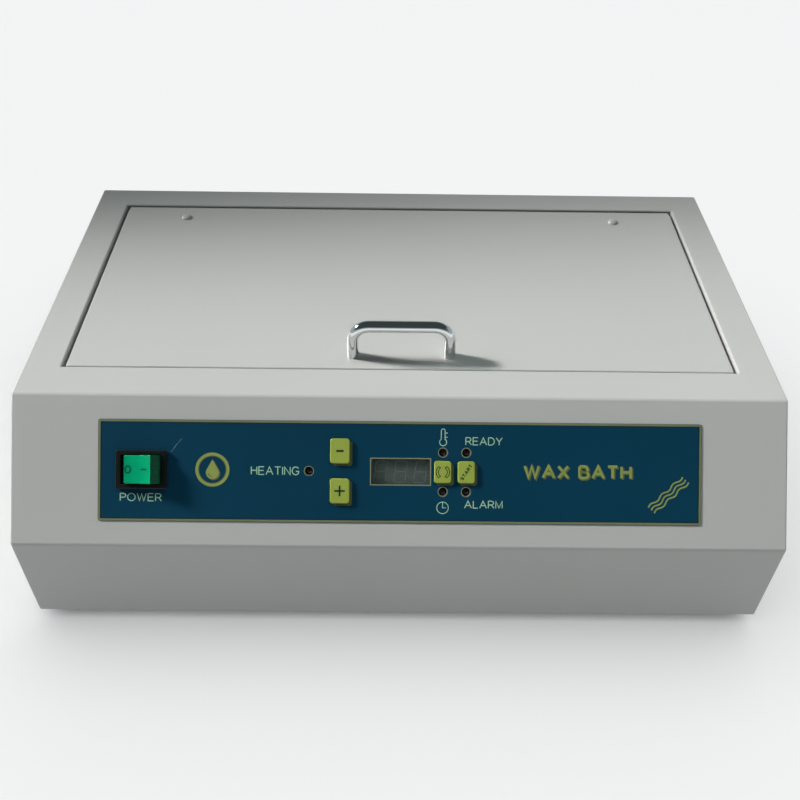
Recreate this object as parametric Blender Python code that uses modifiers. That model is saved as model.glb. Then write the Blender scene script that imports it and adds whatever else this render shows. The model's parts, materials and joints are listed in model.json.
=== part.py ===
"""Paraffin wax bath: a folded steel casing with a sloping control panel, a heated tank and a hinged lid.

Units are metres, +Z is up, +Y points to the back and the front faces -Y. The origin is on the table,
under the middle of the casing.
"""

import math

import bmesh
import bpy
from mathutils import Matrix, Vector

MM = 0.001
GAP = 0.3 * MM  # left between pieces that touch
RUNNING = 0.1 * MM  # round a pin that something turns on

# Casing
CASE_WIDTH = 490 * MM
TOP_DEPTH = 255 * MM
PANEL_LENGTH = 95 * MM
PANEL_ANGLE = math.radians(45)
LOWER_HEIGHT = 70 * MM
SHEET = 1.2 * MM
FOLD_RADIUS = 1.8 * MM
BOTTOM_FLANGE = 27 * MM
FOOT_HEIGHT = 8 * MM

BASE_TOP = FOOT_HEIGHT + SHEET
CASE_BOTTOM = BASE_TOP + GAP
PANEL_DROP = PANEL_LENGTH * math.sin(PANEL_ANGLE)
CASE_DEPTH = TOP_DEPTH + PANEL_LENGTH * math.cos(PANEL_ANGLE)
HALF_WIDTH = CASE_WIDTH / 2
Y_FRONT = -CASE_DEPTH / 2
Y_BACK = CASE_DEPTH / 2
Y_FOLD = Y_BACK - TOP_DEPTH
Z_TOP = CASE_BOTTOM + LOWER_HEIGHT + PANEL_DROP

# Lid opening in the top, and the lid in it
OPENING_HALF = 220.5 * MM
OPENING_FRONT = Y_FOLD + 27 * MM
OPENING_BACK = Y_BACK - 23 * MM
OPENING_WALL = 12.5 * MM
LID_SIDE_GAP = 2.5 * MM
LID_END_GAP = 2 * MM
LID_RECESS = 1 * MM
LID_SKIRT = 9.5 * MM
LID_HALF = OPENING_HALF - LID_SIDE_GAP
LID_FRONT = OPENING_FRONT + LID_END_GAP
LID_BACK = OPENING_BACK - LID_END_GAP
LID_TOP = Z_TOP - LID_RECESS

# Hinge: its axis runs along X, a little in front of the lid's back edge and under its top
HINGE_Y = LID_BACK - 6 * MM
HINGE_Z = LID_TOP - 4.5 * MM
HINGE_X = 170 * MM
PIN_RADIUS = 1.4 * MM
EYE_RADIUS = 2.8 * MM
RIVET_Y = HINGE_Y - 9 * MM

# Tank
TANK_HALF_X = 200 * MM
TANK_FRONT = Y_FOLD + 45 * MM
TANK_BACK = Y_FOLD + 190 * MM
TANK_Y = (TANK_FRONT + TANK_BACK) / 2
TANK_HALF_Y = (TANK_BACK - TANK_FRONT) / 2
TANK_DEPTH = 95 * MM
TANK_TAPER = 3 * MM
FLANGE_TOP = Z_TOP - 13 * MM
FLANGE_HALF_X = 228 * MM
FLANGE_FRONT = OPENING_FRONT - 4 * MM
FLANGE_BACK = OPENING_BACK + 6 * MM
TANK_FLOOR = FLANGE_TOP - TANK_DEPTH
JACKET_WALL = 10 * MM
JACKET_FLOOR = TANK_FLOOR - 14 * MM

# Control panel: x to the right, s down the slope from the fold, n out of the panel
LABEL_HALF = 190 * MM
LABEL_HEIGHT = 64 * MM
LABEL_THICK = 0.6 * MM
LABEL_TOP = GAP + LABEL_THICK
LABEL_S = 47.6 * MM
CONTROLS_S = 47.2 * MM
SWITCH_X = -162.5 * MM
SWITCH_BODY = (29.4 * MM, 21.4 * MM, 24 * MM)
BEZEL = (32 * MM, 24.2 * MM, 1.8 * MM)
BEZEL_TOP = LABEL_TOP + GAP + BEZEL[2]
ROCKER_PIVOT_N = 0.9 * MM
ROCKER_TILT = math.radians(12)
ROCKER_END = 12.2 * MM
ROCKER_EDGE = math.radians(8)  # where the round end meets the facet
ROCKER_SHOULDER = (8.7 * MM, 5.9 * MM)  # where the facet meets the top
ROCKER_WAIST = 5.2 * MM
ROCKER_HALF_HEIGHT = 8.9 * MM
WINDOW = (36.6 * MM, 15.6 * MM)
BOARD_TOP_N = -11 * MM
LED_RADIUS = 2.2 * MM
LED_HOLE = 2.6 * MM
LEDS = {
    "led_heating": (-57.7 * MM, CONTROLS_S),
    "led_temperature": (26.6 * MM, 34.9 * MM),
    "led_ready": (41.3 * MM, 34.9 * MM),
    "led_timer": (26.6 * MM, 59.6 * MM),
    "led_alarm": (41.3 * MM, 59.6 * MM),
}
KEYS = {
    "key_minus": (-38.2 * MM, 34.5 * MM, 12.3 * MM, 15.7 * MM),
    "key_plus": (-38.2 * MM, 59.6 * MM, 12.3 * MM, 15.7 * MM),
    "key_select": (26.5 * MM, CONTROLS_S, 10.8 * MM, 13.9 * MM),
    "key_start": (41.3 * MM, CONTROLS_S, 10.8 * MM, 13.9 * MM),
}
KEY_TOP = 2.2 * MM
KEY_TRAVEL = 1 * MM
KEY_CORNER = 1.8 * MM
SWITCH_TOP_N = BOARD_TOP_N + 3.6 * MM  # of the small switches under the keys
KEY_STEM_END = SWITCH_TOP_N + KEY_TRAVEL + GAP

# Rear panel, set in from the back edge of the casing
REAR_RECESS = 12 * MM
REAR_Y = Y_BACK - REAR_RECESS
REAR_FOOT = 12 * MM
INLET_X = -170 * MM
INLET_Z = 60 * MM
INLET_FLANGE = (31 * MM, 2.5 * MM, 37 * MM)
INLET_BODY = (26.8 * MM, 27 * MM, 30.6 * MM)
SOCKET = (24.4 * MM, 17 * MM, 16.4 * MM)
SOCKET_Z = INLET_Z + 6 * MM
DRAWER = (22.4 * MM, 23 * MM, 8.4 * MM)
DRAWER_Z = INLET_Z - 11 * MM
INLET_FACE = REAR_Y + GAP + INLET_FLANGE[1]

# Handle
HANDLE_HALF = 32 * MM
HANDLE_Y = Y_FOLD + 42.5 * MM
HANDLE_HEIGHT = 23.7 * MM  # of the bar's centre over the lid
HANDLE_ROD = 4 * MM
HANDLE_BEND = 11 * MM

FOOT_INSET = 18 * MM
FOOT_RADIUS = 9 * MM


# ---------------------------------------------------------------- helpers


def clear_scene():
    for obj in list(bpy.data.objects):
        bpy.data.objects.remove(obj)


def make_collection(name):
    collection = bpy.data.collections.new(name)
    bpy.context.scene.collection.children.link(collection)
    return collection


def make_material(name, colour, roughness, metallic=0.0):
    material = bpy.data.materials.new(name)
    material.use_nodes = True
    shader = material.node_tree.nodes["Principled BSDF"]
    shader.inputs["Base Color"].default_value = (*colour, 1)
    shader.inputs["Roughness"].default_value = roughness
    shader.inputs["Metallic"].default_value = metallic
    material.diffuse_color = (*colour, 1)
    return material


def add_object(name, data, material=None, at=(0, 0, 0), turn=(0, 0, 0), parent=None, cutter=False):
    """Links a mesh or curve as an object; a cutter goes to its own collection and isn't a part."""
    obj = bpy.data.objects.new(name, data)
    (CUTTERS if cutter else PARTS).objects.link(obj)
    obj.location = at
    obj.rotation_euler = turn
    obj.parent = parent
    if material:
        data.materials.append(material)
    if cutter:
        obj.hide_render = True
        obj.display_type = "WIRE"
    return obj


def mesh_from(bm, name):
    mesh = bpy.data.meshes.new(name)
    bmesh.ops.recalc_face_normals(bm, faces=bm.faces)
    bm.to_mesh(mesh)
    bm.free()
    return mesh


def box(name, size, at, material=None, bevel=0.0, segments=1, **where):
    """A box of that size, centred at at."""
    bm = bmesh.new()
    bmesh.ops.create_cube(bm, size=1, matrix=Matrix.Diagonal((*size, 1)))
    obj = add_object(name, mesh_from(bm, name), material, at, **where)
    if bevel:
        add_bevel(obj, bevel, segments)
    return obj


def box_between(name, low, high, material=None, **where):
    low, high = Vector(low), Vector(high)
    return box(name, high - low, (low + high) / 2, material, **where)


def cylinder(name, radius, length, at, material=None, along="Z", sides=24, tip=None, **where):
    """A cylinder centred at at; tip is the radius of its far end where that differs."""
    turn = {
        "X": Matrix.Rotation(math.pi / 2, 4, "Y"),
        "Y": Matrix.Rotation(-math.pi / 2, 4, "X"),
        "Z": Matrix(),
    }
    bm = bmesh.new()
    bmesh.ops.create_cone(
        bm,
        cap_ends=True,
        segments=sides,
        radius1=radius,
        radius2=radius if tip is None else tip,
        depth=length,
        matrix=turn[along],
    )
    obj = add_object(name, mesh_from(bm, name), material, at, **where)
    smooth(obj)
    return obj


def turned(name, profile, at, material, steps=24, **where):
    """A solid of revolution about Z; the profile's (radius, height) points run down its outer side."""
    bm = bmesh.new()
    points = [bm.verts.new((radius, 0, height)) for radius, height in profile]
    for first, second in zip(points, points[1:]):
        bm.edges.new((first, second))
    mesh = bpy.data.meshes.new(name)
    bm.to_mesh(mesh)
    bm.free()
    obj = add_object(name, mesh, material, at, **where)
    screw = obj.modifiers.new("Screw", "SCREW")
    screw.steps = screw.render_steps = steps
    screw.use_merge_vertices = True
    screw.merge_threshold = 0.00001
    return obj


def rectangle(half_x, half_y, corner=0.0, centre=(0, 0), arc_steps=3):
    """Outline of a rectangle with rounded corners, as (x, y) points."""
    signs = ((1, 1), (-1, 1), (-1, -1), (1, -1))
    if not corner:
        return [(centre[0] + sx * half_x, centre[1] + sy * half_y) for sx, sy in signs]
    outline = []
    for quarter, (sx, sy) in enumerate(signs):
        for step in range(arc_steps + 1):
            angle = (quarter + step / arc_steps) * math.pi / 2
            outline.append(
                (
                    centre[0] + sx * (half_x - corner) + corner * math.cos(angle),
                    centre[1] + sy * (half_y - corner) + corner * math.sin(angle),
                )
            )
    return outline


def circle(radius, centre=(0, 0), sides=12):
    angles = [2 * math.pi * i / sides for i in range(sides)]
    return [(centre[0] + radius * math.cos(a), centre[1] + radius * math.sin(a)) for a in angles]


def plate(name, outlines, thickness, at, material, **where):
    """A flat plate in its local XY plane from closed outlines; the inner ones are holes."""
    curve = bpy.data.curves.new(name, "CURVE")
    curve.dimensions = "2D"
    curve.fill_mode = "BOTH"
    curve.extrude = thickness / 2
    for outline in outlines:
        spline = curve.splines.new("POLY")
        spline.points.add(len(outline) - 1)
        spline.use_cyclic_u = True
        for point, (x, y) in zip(spline.points, outline):
            point.co = (x, y, 0, 1)
    return add_object(name, curve, material, at, **where)


def tube(name, points, radius, material, resolution=2, **where):
    """A round bar or wire along points, with closed ends."""
    curve = bpy.data.curves.new(name, "CURVE")
    curve.dimensions = "3D"
    curve.bevel_depth = radius
    curve.bevel_resolution = resolution
    curve.use_fill_caps = True
    spline = curve.splines.new("POLY")
    spline.points.add(len(points) - 1)
    for point, place in zip(spline.points, points):
        point.co = (*place, 1)
    return add_object(name, curve, material, **where)


def as_mesh(obj):
    """Turns a curve object into a mesh object with welded caps, so that a Boolean can take it."""
    bpy.context.view_layer.update()
    evaluated = obj.evaluated_get(bpy.context.evaluated_depsgraph_get())
    mesh = bpy.data.meshes.new_from_object(evaluated)
    bm = bmesh.new()
    bm.from_mesh(mesh)
    bmesh.ops.remove_doubles(bm, verts=bm.verts, dist=0.000001)
    bm.to_mesh(mesh)
    bm.free()
    name, parent, cutter = obj.name, obj.parent, obj.hide_render
    local = obj.matrix_basis.copy()
    bpy.data.objects.remove(obj)
    made = add_object(name, mesh, parent=parent, cutter=cutter)
    made.matrix_basis = local
    return made


def add_bevel(obj, width, segments=1, angle=30):
    bevel = obj.modifiers.new("Bevel", "BEVEL")
    bevel.width = width
    bevel.segments = segments
    bevel.limit_method = "ANGLE"
    bevel.angle_limit = math.radians(angle)
    return bevel


def add_solidify(obj, thickness):
    """Thickens an open surface on its back, so that its front stays where it is."""
    solidify = obj.modifiers.new("Solidify", "SOLIDIFY")
    solidify.thickness = thickness
    solidify.offset = -1
    solidify.use_even_offset = True
    return solidify


def join_or_cut(obj, other, operation):
    boolean = obj.modifiers.new(operation.title(), "BOOLEAN")
    boolean.operation = operation
    boolean.object = other


def cut(obj, *cutters):
    for cutter in cutters:
        join_or_cut(obj, cutter, "DIFFERENCE")
    return obj


def join(obj, *others):
    for other in others:
        join_or_cut(obj, other, "UNION")
    return obj


def smooth(obj):
    obj.data.shade_smooth()
    obj.data.set_sharp_from_angle(angle=math.radians(35))


def empty(name, at, turn=(0, 0, 0), parent=None):
    obj = bpy.data.objects.new(name, None)
    PARTS.objects.link(obj)
    obj.location = at
    obj.rotation_euler = turn
    obj.parent = parent
    return obj


# ---------------------------------------------------------------- casing, base and rear


def shell_from_prism(outline, half_width):
    """A prism along X from an outline of (y, z) points, as a bmesh with its side faces."""
    bm = bmesh.new()
    verts = [bm.verts.new((-half_width, y, z)) for y, z in outline]
    face = bm.faces.new(verts)
    extruded = bmesh.ops.extrude_face_region(bm, geom=[face])["geom"]
    moved = [v for v in extruded if isinstance(v, bmesh.types.BMVert)]
    bmesh.ops.translate(bm, verts=moved, vec=(2 * half_width, 0, 0))
    bmesh.ops.recalc_face_normals(bm, faces=bm.faces)
    return bm


def face_towards(bm, direction):
    direction = Vector(direction)
    return max(bm.faces, key=lambda face: face.normal.dot(direction))


def make_casing():
    outline = [
        (Y_BACK, CASE_BOTTOM),
        (Y_BACK, Z_TOP),
        (Y_FOLD, Z_TOP),
        (Y_FRONT, Z_TOP - PANEL_DROP),
        (Y_FRONT, CASE_BOTTOM),
    ]
    bm = shell_from_prism(outline, HALF_WIDTH)
    open_back = face_towards(bm, (0, 1, 0))
    top = face_towards(bm, (0, 0, 1))
    bottom = face_towards(bm, (0, 0, -1))
    bmesh.ops.delete(bm, geom=[open_back], context="FACES")
    # The bottom is a frame of flanges.
    bmesh.ops.inset_region(bm, faces=[bottom], thickness=BOTTOM_FLANGE, use_boundary=True)
    bmesh.ops.delete(bm, geom=[bottom], context="FACES")
    # The top has an opening with walls folded down.
    bmesh.ops.inset_region(bm, faces=[top], thickness=(HALF_WIDTH - OPENING_HALF), use_boundary=True)
    for vert in top.verts:
        vert.co.x = math.copysign(OPENING_HALF, vert.co.x)
        vert.co.y = OPENING_FRONT if vert.co.y < (OPENING_FRONT + OPENING_BACK) / 2 else OPENING_BACK
    rim = list(top.edges)
    bmesh.ops.delete(bm, geom=[top], context="FACES_ONLY")
    walls = bmesh.ops.extrude_edge_only(bm, edges=rim)["geom"]
    lower = [v for v in walls if isinstance(v, bmesh.types.BMVert)]
    bmesh.ops.translate(bm, verts=lower, vec=(0, 0, -OPENING_WALL))
    mesh = bpy.data.meshes.new("casing")
    bm.to_mesh(mesh)
    bm.free()
    casing = add_object("casing", mesh, PAINT)
    add_bevel(casing, FOLD_RADIUS, 2)
    add_solidify(casing, SHEET)
    cut(casing, *panel_cutters(), *foot_hole_cutters("casing", CASE_BOTTOM))
    return casing


def panel_cutters():
    """Cut-outs of the sloping panel: the switch, the window, the keys and the lamps."""
    deep = 8 * MM
    switch = (SWITCH_BODY[0] + 2 * GAP, SWITCH_BODY[1] + 2 * GAP, deep)
    window = (40 * MM, 19 * MM, deep)
    cutters = [
        box("cut_switch", switch, (SWITCH_X, -CONTROLS_S, 0), parent=PANEL, cutter=True),
        box("cut_window", window, (0, -CONTROLS_S, 0), parent=PANEL, cutter=True),
    ]
    for name, (x, s, width, height) in KEYS.items():
        size = (width + 2 * GAP, height + 2 * GAP, deep)
        cutters.append(box("cut_" + name, size, (x, -s, 0), parent=PANEL, cutter=True))
    for name, (x, s) in LEDS.items():
        cutters.append(
            cylinder("cut_" + name, LED_HOLE, deep, (x, -s, 0), sides=12, parent=PANEL, cutter=True)
        )
    return cutters


def foot_places():
    for across, sx in (("left", -1), ("right", 1)):
        for along, sy in (("front", -1), ("rear", 1)):
            yield f"{along}_{across}", sx * (HALF_WIDTH - FOOT_INSET), sy * (CASE_DEPTH / 2 - FOOT_INSET)


def foot_hole_cutters(owner, z):
    return [
        cylinder(f"cut_{owner}_{place}", 2.3 * MM, 6 * MM, (x, y, z), sides=16, cutter=True)
        for place, x, y in foot_places()
    ]


def slots(count, pitch, half_x, half_y, centre):
    """Outlines of a row of upright slots."""
    first = centre[0] - pitch * (count - 1) / 2
    return [rectangle(half_x, half_y, centre=(first + i * pitch, centre[1])) for i in range(count)]


def make_base():
    half_x, half_y = HALF_WIDTH - 2 * MM, CASE_DEPTH / 2 - 2 * MM
    outlines = [rectangle(half_x, half_y, 3 * MM)]
    outlines += [circle(2.3 * MM, (x, y), 16) for _, x, y in foot_places()]
    outlines += slots(9, 9 * MM, 1.6 * MM, 22 * MM, (-110 * MM, -95 * MM))
    outlines += slots(9, 9 * MM, 1.6 * MM, 22 * MM, (0, 95 * MM))
    plate("base_plate", outlines, SHEET, (0, 0, FOOT_HEIGHT + SHEET / 2), ZINC)
    for place, x, y in foot_places():
        make_foot(place, x, y)


def make_foot(place, x, y):
    """A rubber foot, and the screw that holds it, the base plate and the casing's flange together."""
    head_radius, head_height, shank, recess = 3.6 * MM, 2.2 * MM, 2 * MM, 3.2 * MM
    top = FOOT_HEIGHT - GAP
    bore, pocket = 2.4 * MM, 4.6 * MM
    profile = [
        (bore, top),
        (FOOT_RADIUS + 1 * MM, top),
        (FOOT_RADIUS + 1 * MM, top - 2 * MM),
        (FOOT_RADIUS, 1 * MM),
        (FOOT_RADIUS - 1 * MM, 0),
        (pocket, 0),
        (pocket, recess),
        (bore, recess),
        (bore, top),
    ]
    turned("foot_" + place, profile, (x, y, 0), RUBBER, steps=20)
    end = CASE_BOTTOM + SHEET + 4 * MM
    screw_profile = [
        (0, end),
        (shank, end - 0.5 * MM),
        (shank, recess - GAP),
        (head_radius, recess - GAP),
        (head_radius, recess - GAP - head_height * 0.6),
        (head_radius * 0.6, recess - GAP - head_height),
        (0, recess - GAP - head_height),
    ]
    turned("foot_screw_" + place, screw_profile, (x, y, 0), STEEL, steps=12)


def make_rear_panel():
    """A panel with a foot and a top lip folded forwards, under the casing's top."""
    half_x = HALF_WIDTH - SHEET - 0.5 * MM
    bottom, top = CASE_BOTTOM + SHEET + GAP, Z_TOP - SHEET - GAP
    bm = bmesh.new()
    profile = [(REAR_Y - REAR_FOOT, bottom), (REAR_Y, bottom), (REAR_Y, top), (REAR_Y - 8 * MM, top)]
    rows = [[bm.verts.new((sx * half_x, y, z)) for y, z in profile] for sx in (-1, 1)]
    for i in range(len(profile) - 1):
        bm.faces.new((rows[0][i], rows[0][i + 1], rows[1][i + 1], rows[1][i]))
    bm.normal_update()
    mesh = bpy.data.meshes.new("rear_panel")
    bm.to_mesh(mesh)
    bm.free()
    panel = add_object("rear_panel", mesh, PAINT)
    if mesh.polygons[1].normal.y < 0:
        mesh.flip_normals()
    add_bevel(panel, FOLD_RADIUS, 2)
    add_solidify(panel, SHEET)
    hole = (INLET_BODY[0] + 2 * GAP, 10 * MM, INLET_BODY[2] + 2 * GAP)
    cutters = [box("cut_inlet", hole, (INLET_X, REAR_Y, INLET_Z), cutter=True)]
    for i in range(8):
        x = 60 * MM + i * 12 * MM
        slot = box(f"cut_vent_{i}", (3.2 * MM, 10 * MM, 40 * MM), (x, REAR_Y, 60 * MM), cutter=True)
        cutters.append(slot)
    cut(panel, *cutters)
    for place, x, y in foot_places():
        if y > 0:
            hole_at = (x, y, bottom)
            cut(panel, cylinder("cut_rear_" + place, 3 * MM, 8 * MM, hole_at, sides=16, cutter=True))


def make_inlet():
    """Appliance inlet with its three blades and a drawer for the fuses."""
    flange_y = REAR_Y + GAP + INLET_FLANGE[1] / 2
    inlet = box("mains_inlet", INLET_FLANGE, (INLET_X, flange_y, INLET_Z), BLACK, bevel=0.8 * MM)
    body = box(
        "join_inlet_body",
        (INLET_BODY[0], INLET_BODY[1] + 1 * MM, INLET_BODY[2]),
        (INLET_X, REAR_Y + GAP + 1 * MM - (INLET_BODY[1] + 1 * MM) / 2, INLET_Z),
        cutter=True,
    )
    join(inlet, body)
    socket = box(
        "cut_socket",
        (SOCKET[0], 2 * SOCKET[1], SOCKET[2]),
        (INLET_X, INLET_FACE, SOCKET_Z),
        bevel=1.5 * MM,
        cutter=True,
    )
    pocket_depth = DRAWER[1] + 1 * MM
    pocket = box(
        "cut_drawer",
        (DRAWER[0] + 2 * GAP, 2 * pocket_depth, DRAWER[2] + 2 * GAP),
        (INLET_X, INLET_FACE, DRAWER_Z),
        cutter=True,
    )
    cut(inlet, socket, pocket)
    floor_y = INLET_FACE - SOCKET[1] + GAP
    blade = (2 * MM, SOCKET[1] - GAP - 2.5 * MM, 4 * MM)
    for name, dx, dz in (("live", -7, -2), ("neutral", 7, -2), ("earth", 0, 2)):
        at = (INLET_X + dx * MM, floor_y + blade[1] / 2, SOCKET_Z + dz * MM)
        box("inlet_pin_" + name, blade, at, BRASS, bevel=0.4 * MM)
    drawer_y = INLET_FACE - 0.5 * MM - DRAWER[1] / 2
    drawer = box("fuse_drawer", DRAWER, (INLET_X, drawer_y, DRAWER_Z), BLACK, bevel=0.5 * MM)
    grip = box(
        "cut_drawer_grip",
        (8 * MM, 2.4 * MM, 3 * MM),
        (INLET_X, INLET_FACE - 0.5 * MM, DRAWER_Z + DRAWER[2] / 2 - 1.4 * MM),
        cutter=True,
    )
    cut(drawer, grip)


# ---------------------------------------------------------------- tank and heating


def make_tank():
    """A pan with round corners and a wide flange, as one pressing."""
    corner_radius, floor_radius = 22 * MM, 10 * MM
    bm = bmesh.new()
    size = (2 * TANK_HALF_X, 2 * TANK_HALF_Y, TANK_DEPTH)
    bmesh.ops.create_cube(bm, size=1, matrix=Matrix.Diagonal((*size, 1)))
    for vert in bm.verts:
        if vert.co.z < 0:
            vert.co.x -= math.copysign(TANK_TAPER, vert.co.x)
            vert.co.y -= math.copysign(TANK_TAPER, vert.co.y)
    upright = [e for e in bm.edges if abs(e.verts[0].co.z - e.verts[1].co.z) > TANK_DEPTH / 2]
    bmesh.ops.bevel(bm, geom=upright, offset=corner_radius, segments=4, profile=0.5, affect="EDGES")
    bm.normal_update()
    bottom = face_towards(bm, (0, 0, -1))
    rim = list(bottom.edges)
    bmesh.ops.bevel(bm, geom=rim, offset=floor_radius, segments=3, profile=0.5, affect="EDGES")
    bm.normal_update()
    mouth = face_towards(bm, (0, 0, 1))
    rim = list(mouth.edges)
    bmesh.ops.delete(bm, geom=[mouth], context="FACES_ONLY")
    flange = bmesh.ops.extrude_edge_only(bm, edges=rim)["geom"]
    front, back = TANK_FRONT - FLANGE_FRONT, FLANGE_BACK - TANK_BACK
    for vert in flange:
        if isinstance(vert, bmesh.types.BMVert):
            vert.co.x += math.copysign(FLANGE_HALF_X - TANK_HALF_X, vert.co.x)
            vert.co.y += back if vert.co.y > 0 else -front
    bmesh.ops.recalc_face_normals(bm, faces=bm.faces)
    if face_towards(bm, (0, 0, -1)).calc_area() < size[0] * size[1] / 2:
        bmesh.ops.reverse_faces(bm, faces=bm.faces)
    mesh = bpy.data.meshes.new("tank")
    bm.to_mesh(mesh)
    bm.free()
    inside = max(mesh.polygons, key=lambda p: -p.center.z)
    if inside.normal.z < 0:
        mesh.flip_normals()
    tank = add_object("tank", mesh, STEEL, (0, TANK_Y, FLANGE_TOP - TANK_DEPTH / 2))
    smooth(tank)
    add_solidify(tank, SHEET)


def make_grille():
    """A slotted plate on two folded edges, which keeps hands off the heated floor."""
    half_x, half_y, height = 170 * MM, 50 * MM, 9 * MM
    outlines = [rectangle(half_x, half_y, 8 * MM)]
    outlines += slots(24, 13.5 * MM, 1.8 * MM, 38 * MM, (0, 0))
    z = TANK_FLOOR + GAP + height
    grille = plate("tank_grille", outlines, SHEET, (0, TANK_Y, z), STEEL)
    grille = as_mesh(grille)
    grille.data.materials.append(STEEL)
    for side, sy in (("front", -1), ("back", 1)):
        low = (-half_x + 12 * MM, TANK_Y + sy * (half_y - 4 * MM) - SHEET / 2, TANK_FLOOR + GAP)
        high = (half_x - 12 * MM, TANK_Y + sy * (half_y - 4 * MM) + SHEET / 2, z)
        join(grille, box_between("join_grille_" + side, low, high, cutter=True))


def make_jacket():
    """Mineral wool jacket round the tank, with a window under it for the sensors and leads."""
    outer_x, outer_y = TANK_HALF_X + 3 * MM + JACKET_WALL, TANK_HALF_Y + 3 * MM + JACKET_WALL
    top = FLANGE_TOP - SHEET - GAP
    jacket = box_between(
        "tank_jacket", (-outer_x, TANK_Y - outer_y, JACKET_FLOOR), (outer_x, TANK_Y + outer_y, top), WOOL
    )
    inner_x, inner_y = outer_x - JACKET_WALL, outer_y - JACKET_WALL
    hollow = box_between(
        "cut_jacket",
        (-inner_x, TANK_Y - inner_y, JACKET_FLOOR + JACKET_WALL),
        (inner_x, TANK_Y + inner_y, top + 10 * MM),
        cutter=True,
    )
    window_at = (155 * MM, TANK_Y, JACKET_FLOOR)
    window = box("cut_jacket_window", (50 * MM, 40 * MM, 30 * MM), window_at, cutter=True)
    cut(jacket, hollow, window)


def make_tank_rails():
    """Z-shaped rails under the casing's top, which carry the tank's flange."""
    top, low = Z_TOP - SHEET - GAP, FLANGE_TOP - SHEET - GAP
    web = FLANGE_HALF_X + 2 * MM
    front, back = FLANGE_FRONT + 8 * MM, FLANGE_BACK - 8 * MM
    for side, sx in (("left", -1), ("right", 1)):
        rail = box_between(
            "tank_rail_" + side,
            (min(sx * web, sx * (web + SHEET)), front, low - SHEET),
            (max(sx * web, sx * (web + SHEET)), back, top),
            ZINC,
        )
        flanges = (
            ("top", web, web + 11 * MM, top - SHEET),
            ("foot", web - 14 * MM, web + SHEET, low - SHEET),
        )
        for part, x0, x1, z0 in flanges:
            lip = box_between(
                f"join_rail_{side}_{part}",
                (min(sx * x0, sx * x1), front, z0),
                (max(sx * x0, sx * x1), back, z0 + SHEET),
                cutter=True,
            )
            join(rail, lip)


def make_heating():
    """Silicone heating mat, safety cut-out and temperature probe under the tank's floor."""
    under = TANK_FLOOR - SHEET - GAP
    mat_thick = 1.6 * MM
    mat_size = (290 * MM, 100 * MM, mat_thick)
    box("heating_mat", mat_size, (-25 * MM, TANK_Y, under - mat_thick / 2), SILICONE, bevel=0.5 * MM)
    cutout_x = 145 * MM
    cutout_at = (cutout_x, TANK_Y, under - 4.5 * MM)
    cutout = cylinder("thermal_cutout", 7.8 * MM, 9 * MM, cutout_at, BLACK, sides=20)
    flange_at = (cutout_x, TANK_Y, under - 5.5 * MM)
    cap = cylinder("join_cutout_flange", 10.5 * MM, 1.2 * MM, flange_at, sides=20, cutter=True)
    join(cutout, cap)
    for i, dx in enumerate((-4, 4)):
        blade_at = (cutout_x + dx * MM, TANK_Y, under - 12 * MM)
        blade = box(f"join_blade_{i}", (0.8 * MM, 6.3 * MM, 9 * MM), blade_at, cutter=True)
        join(cutout, blade)
    probe_at = (170 * MM, TANK_Y, under - 3 * MM)
    cylinder("temperature_probe", 2.5 * MM, 28 * MM, probe_at, STEEL, along="Y", sides=16)


# ---------------------------------------------------------------- lid, handle and hinges


def make_lid():
    bm = bmesh.new()
    size = (2 * LID_HALF, LID_BACK - LID_FRONT, LID_SKIRT)
    bmesh.ops.create_cube(bm, size=1, matrix=Matrix.Diagonal((*size, 1)))
    bottom, back = face_towards(bm, (0, 0, -1)), face_towards(bm, (0, 1, 0))
    bmesh.ops.delete(bm, geom=[bottom, back], context="FACES")
    middle = ((LID_FRONT + LID_BACK) / 2, LID_TOP - LID_SKIRT / 2)
    mesh = bpy.data.meshes.new("lid_panel")
    bm.to_mesh(mesh)
    bm.free()
    lid = add_object("lid_panel", mesh, PAINT, (0, middle[0] - HINGE_Y, middle[1] - HINGE_Z), parent=LID)
    add_bevel(lid, 1.4 * MM, 2)
    add_solidify(lid, SHEET)
    relief_z = LID_TOP - HINGE_Z
    for side, sx in (("left", -1), ("right", 1)):
        # The side skirts stop short of the hinge axis, and the back corners are relieved.
        skirt_end = box_between(
            f"cut_skirt_{side}",
            (sx * LID_HALF - 4 * MM, -8 * MM, -20 * MM),
            (sx * LID_HALF + 4 * MM, 20 * MM, relief_z - SHEET - 0.8 * MM),
            parent=LID,
            cutter=True,
        )
        corner = box_between(
            f"cut_corner_{side}",
            (sx * (LID_HALF + 0.1 * MM) - 1 * MM, LID_BACK - HINGE_Y - 4.2 * MM, -5 * MM),
            (sx * (LID_HALF + 0.1 * MM) + 1 * MM, LID_BACK - HINGE_Y + 5 * MM, 10 * MM),
            parent=LID,
            cutter=True,
        )
        rivet_at = (sx * HINGE_X, RIVET_Y - HINGE_Y, relief_z)
        rivet_hole = cylinder(
            f"cut_lid_rivet_{side}", 1.9 * MM, 8 * MM, rivet_at, sides=16, parent=LID, cutter=True
        )
        screw_at = (sx * HANDLE_HALF, HANDLE_Y - HINGE_Y, relief_z)
        screw_hole = cylinder(
            f"cut_lid_screw_{side}", 2.3 * MM, 8 * MM, screw_at, sides=16, parent=LID, cutter=True
        )
        cut(lid, skirt_end, corner, rivet_hole, screw_hole)


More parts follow.
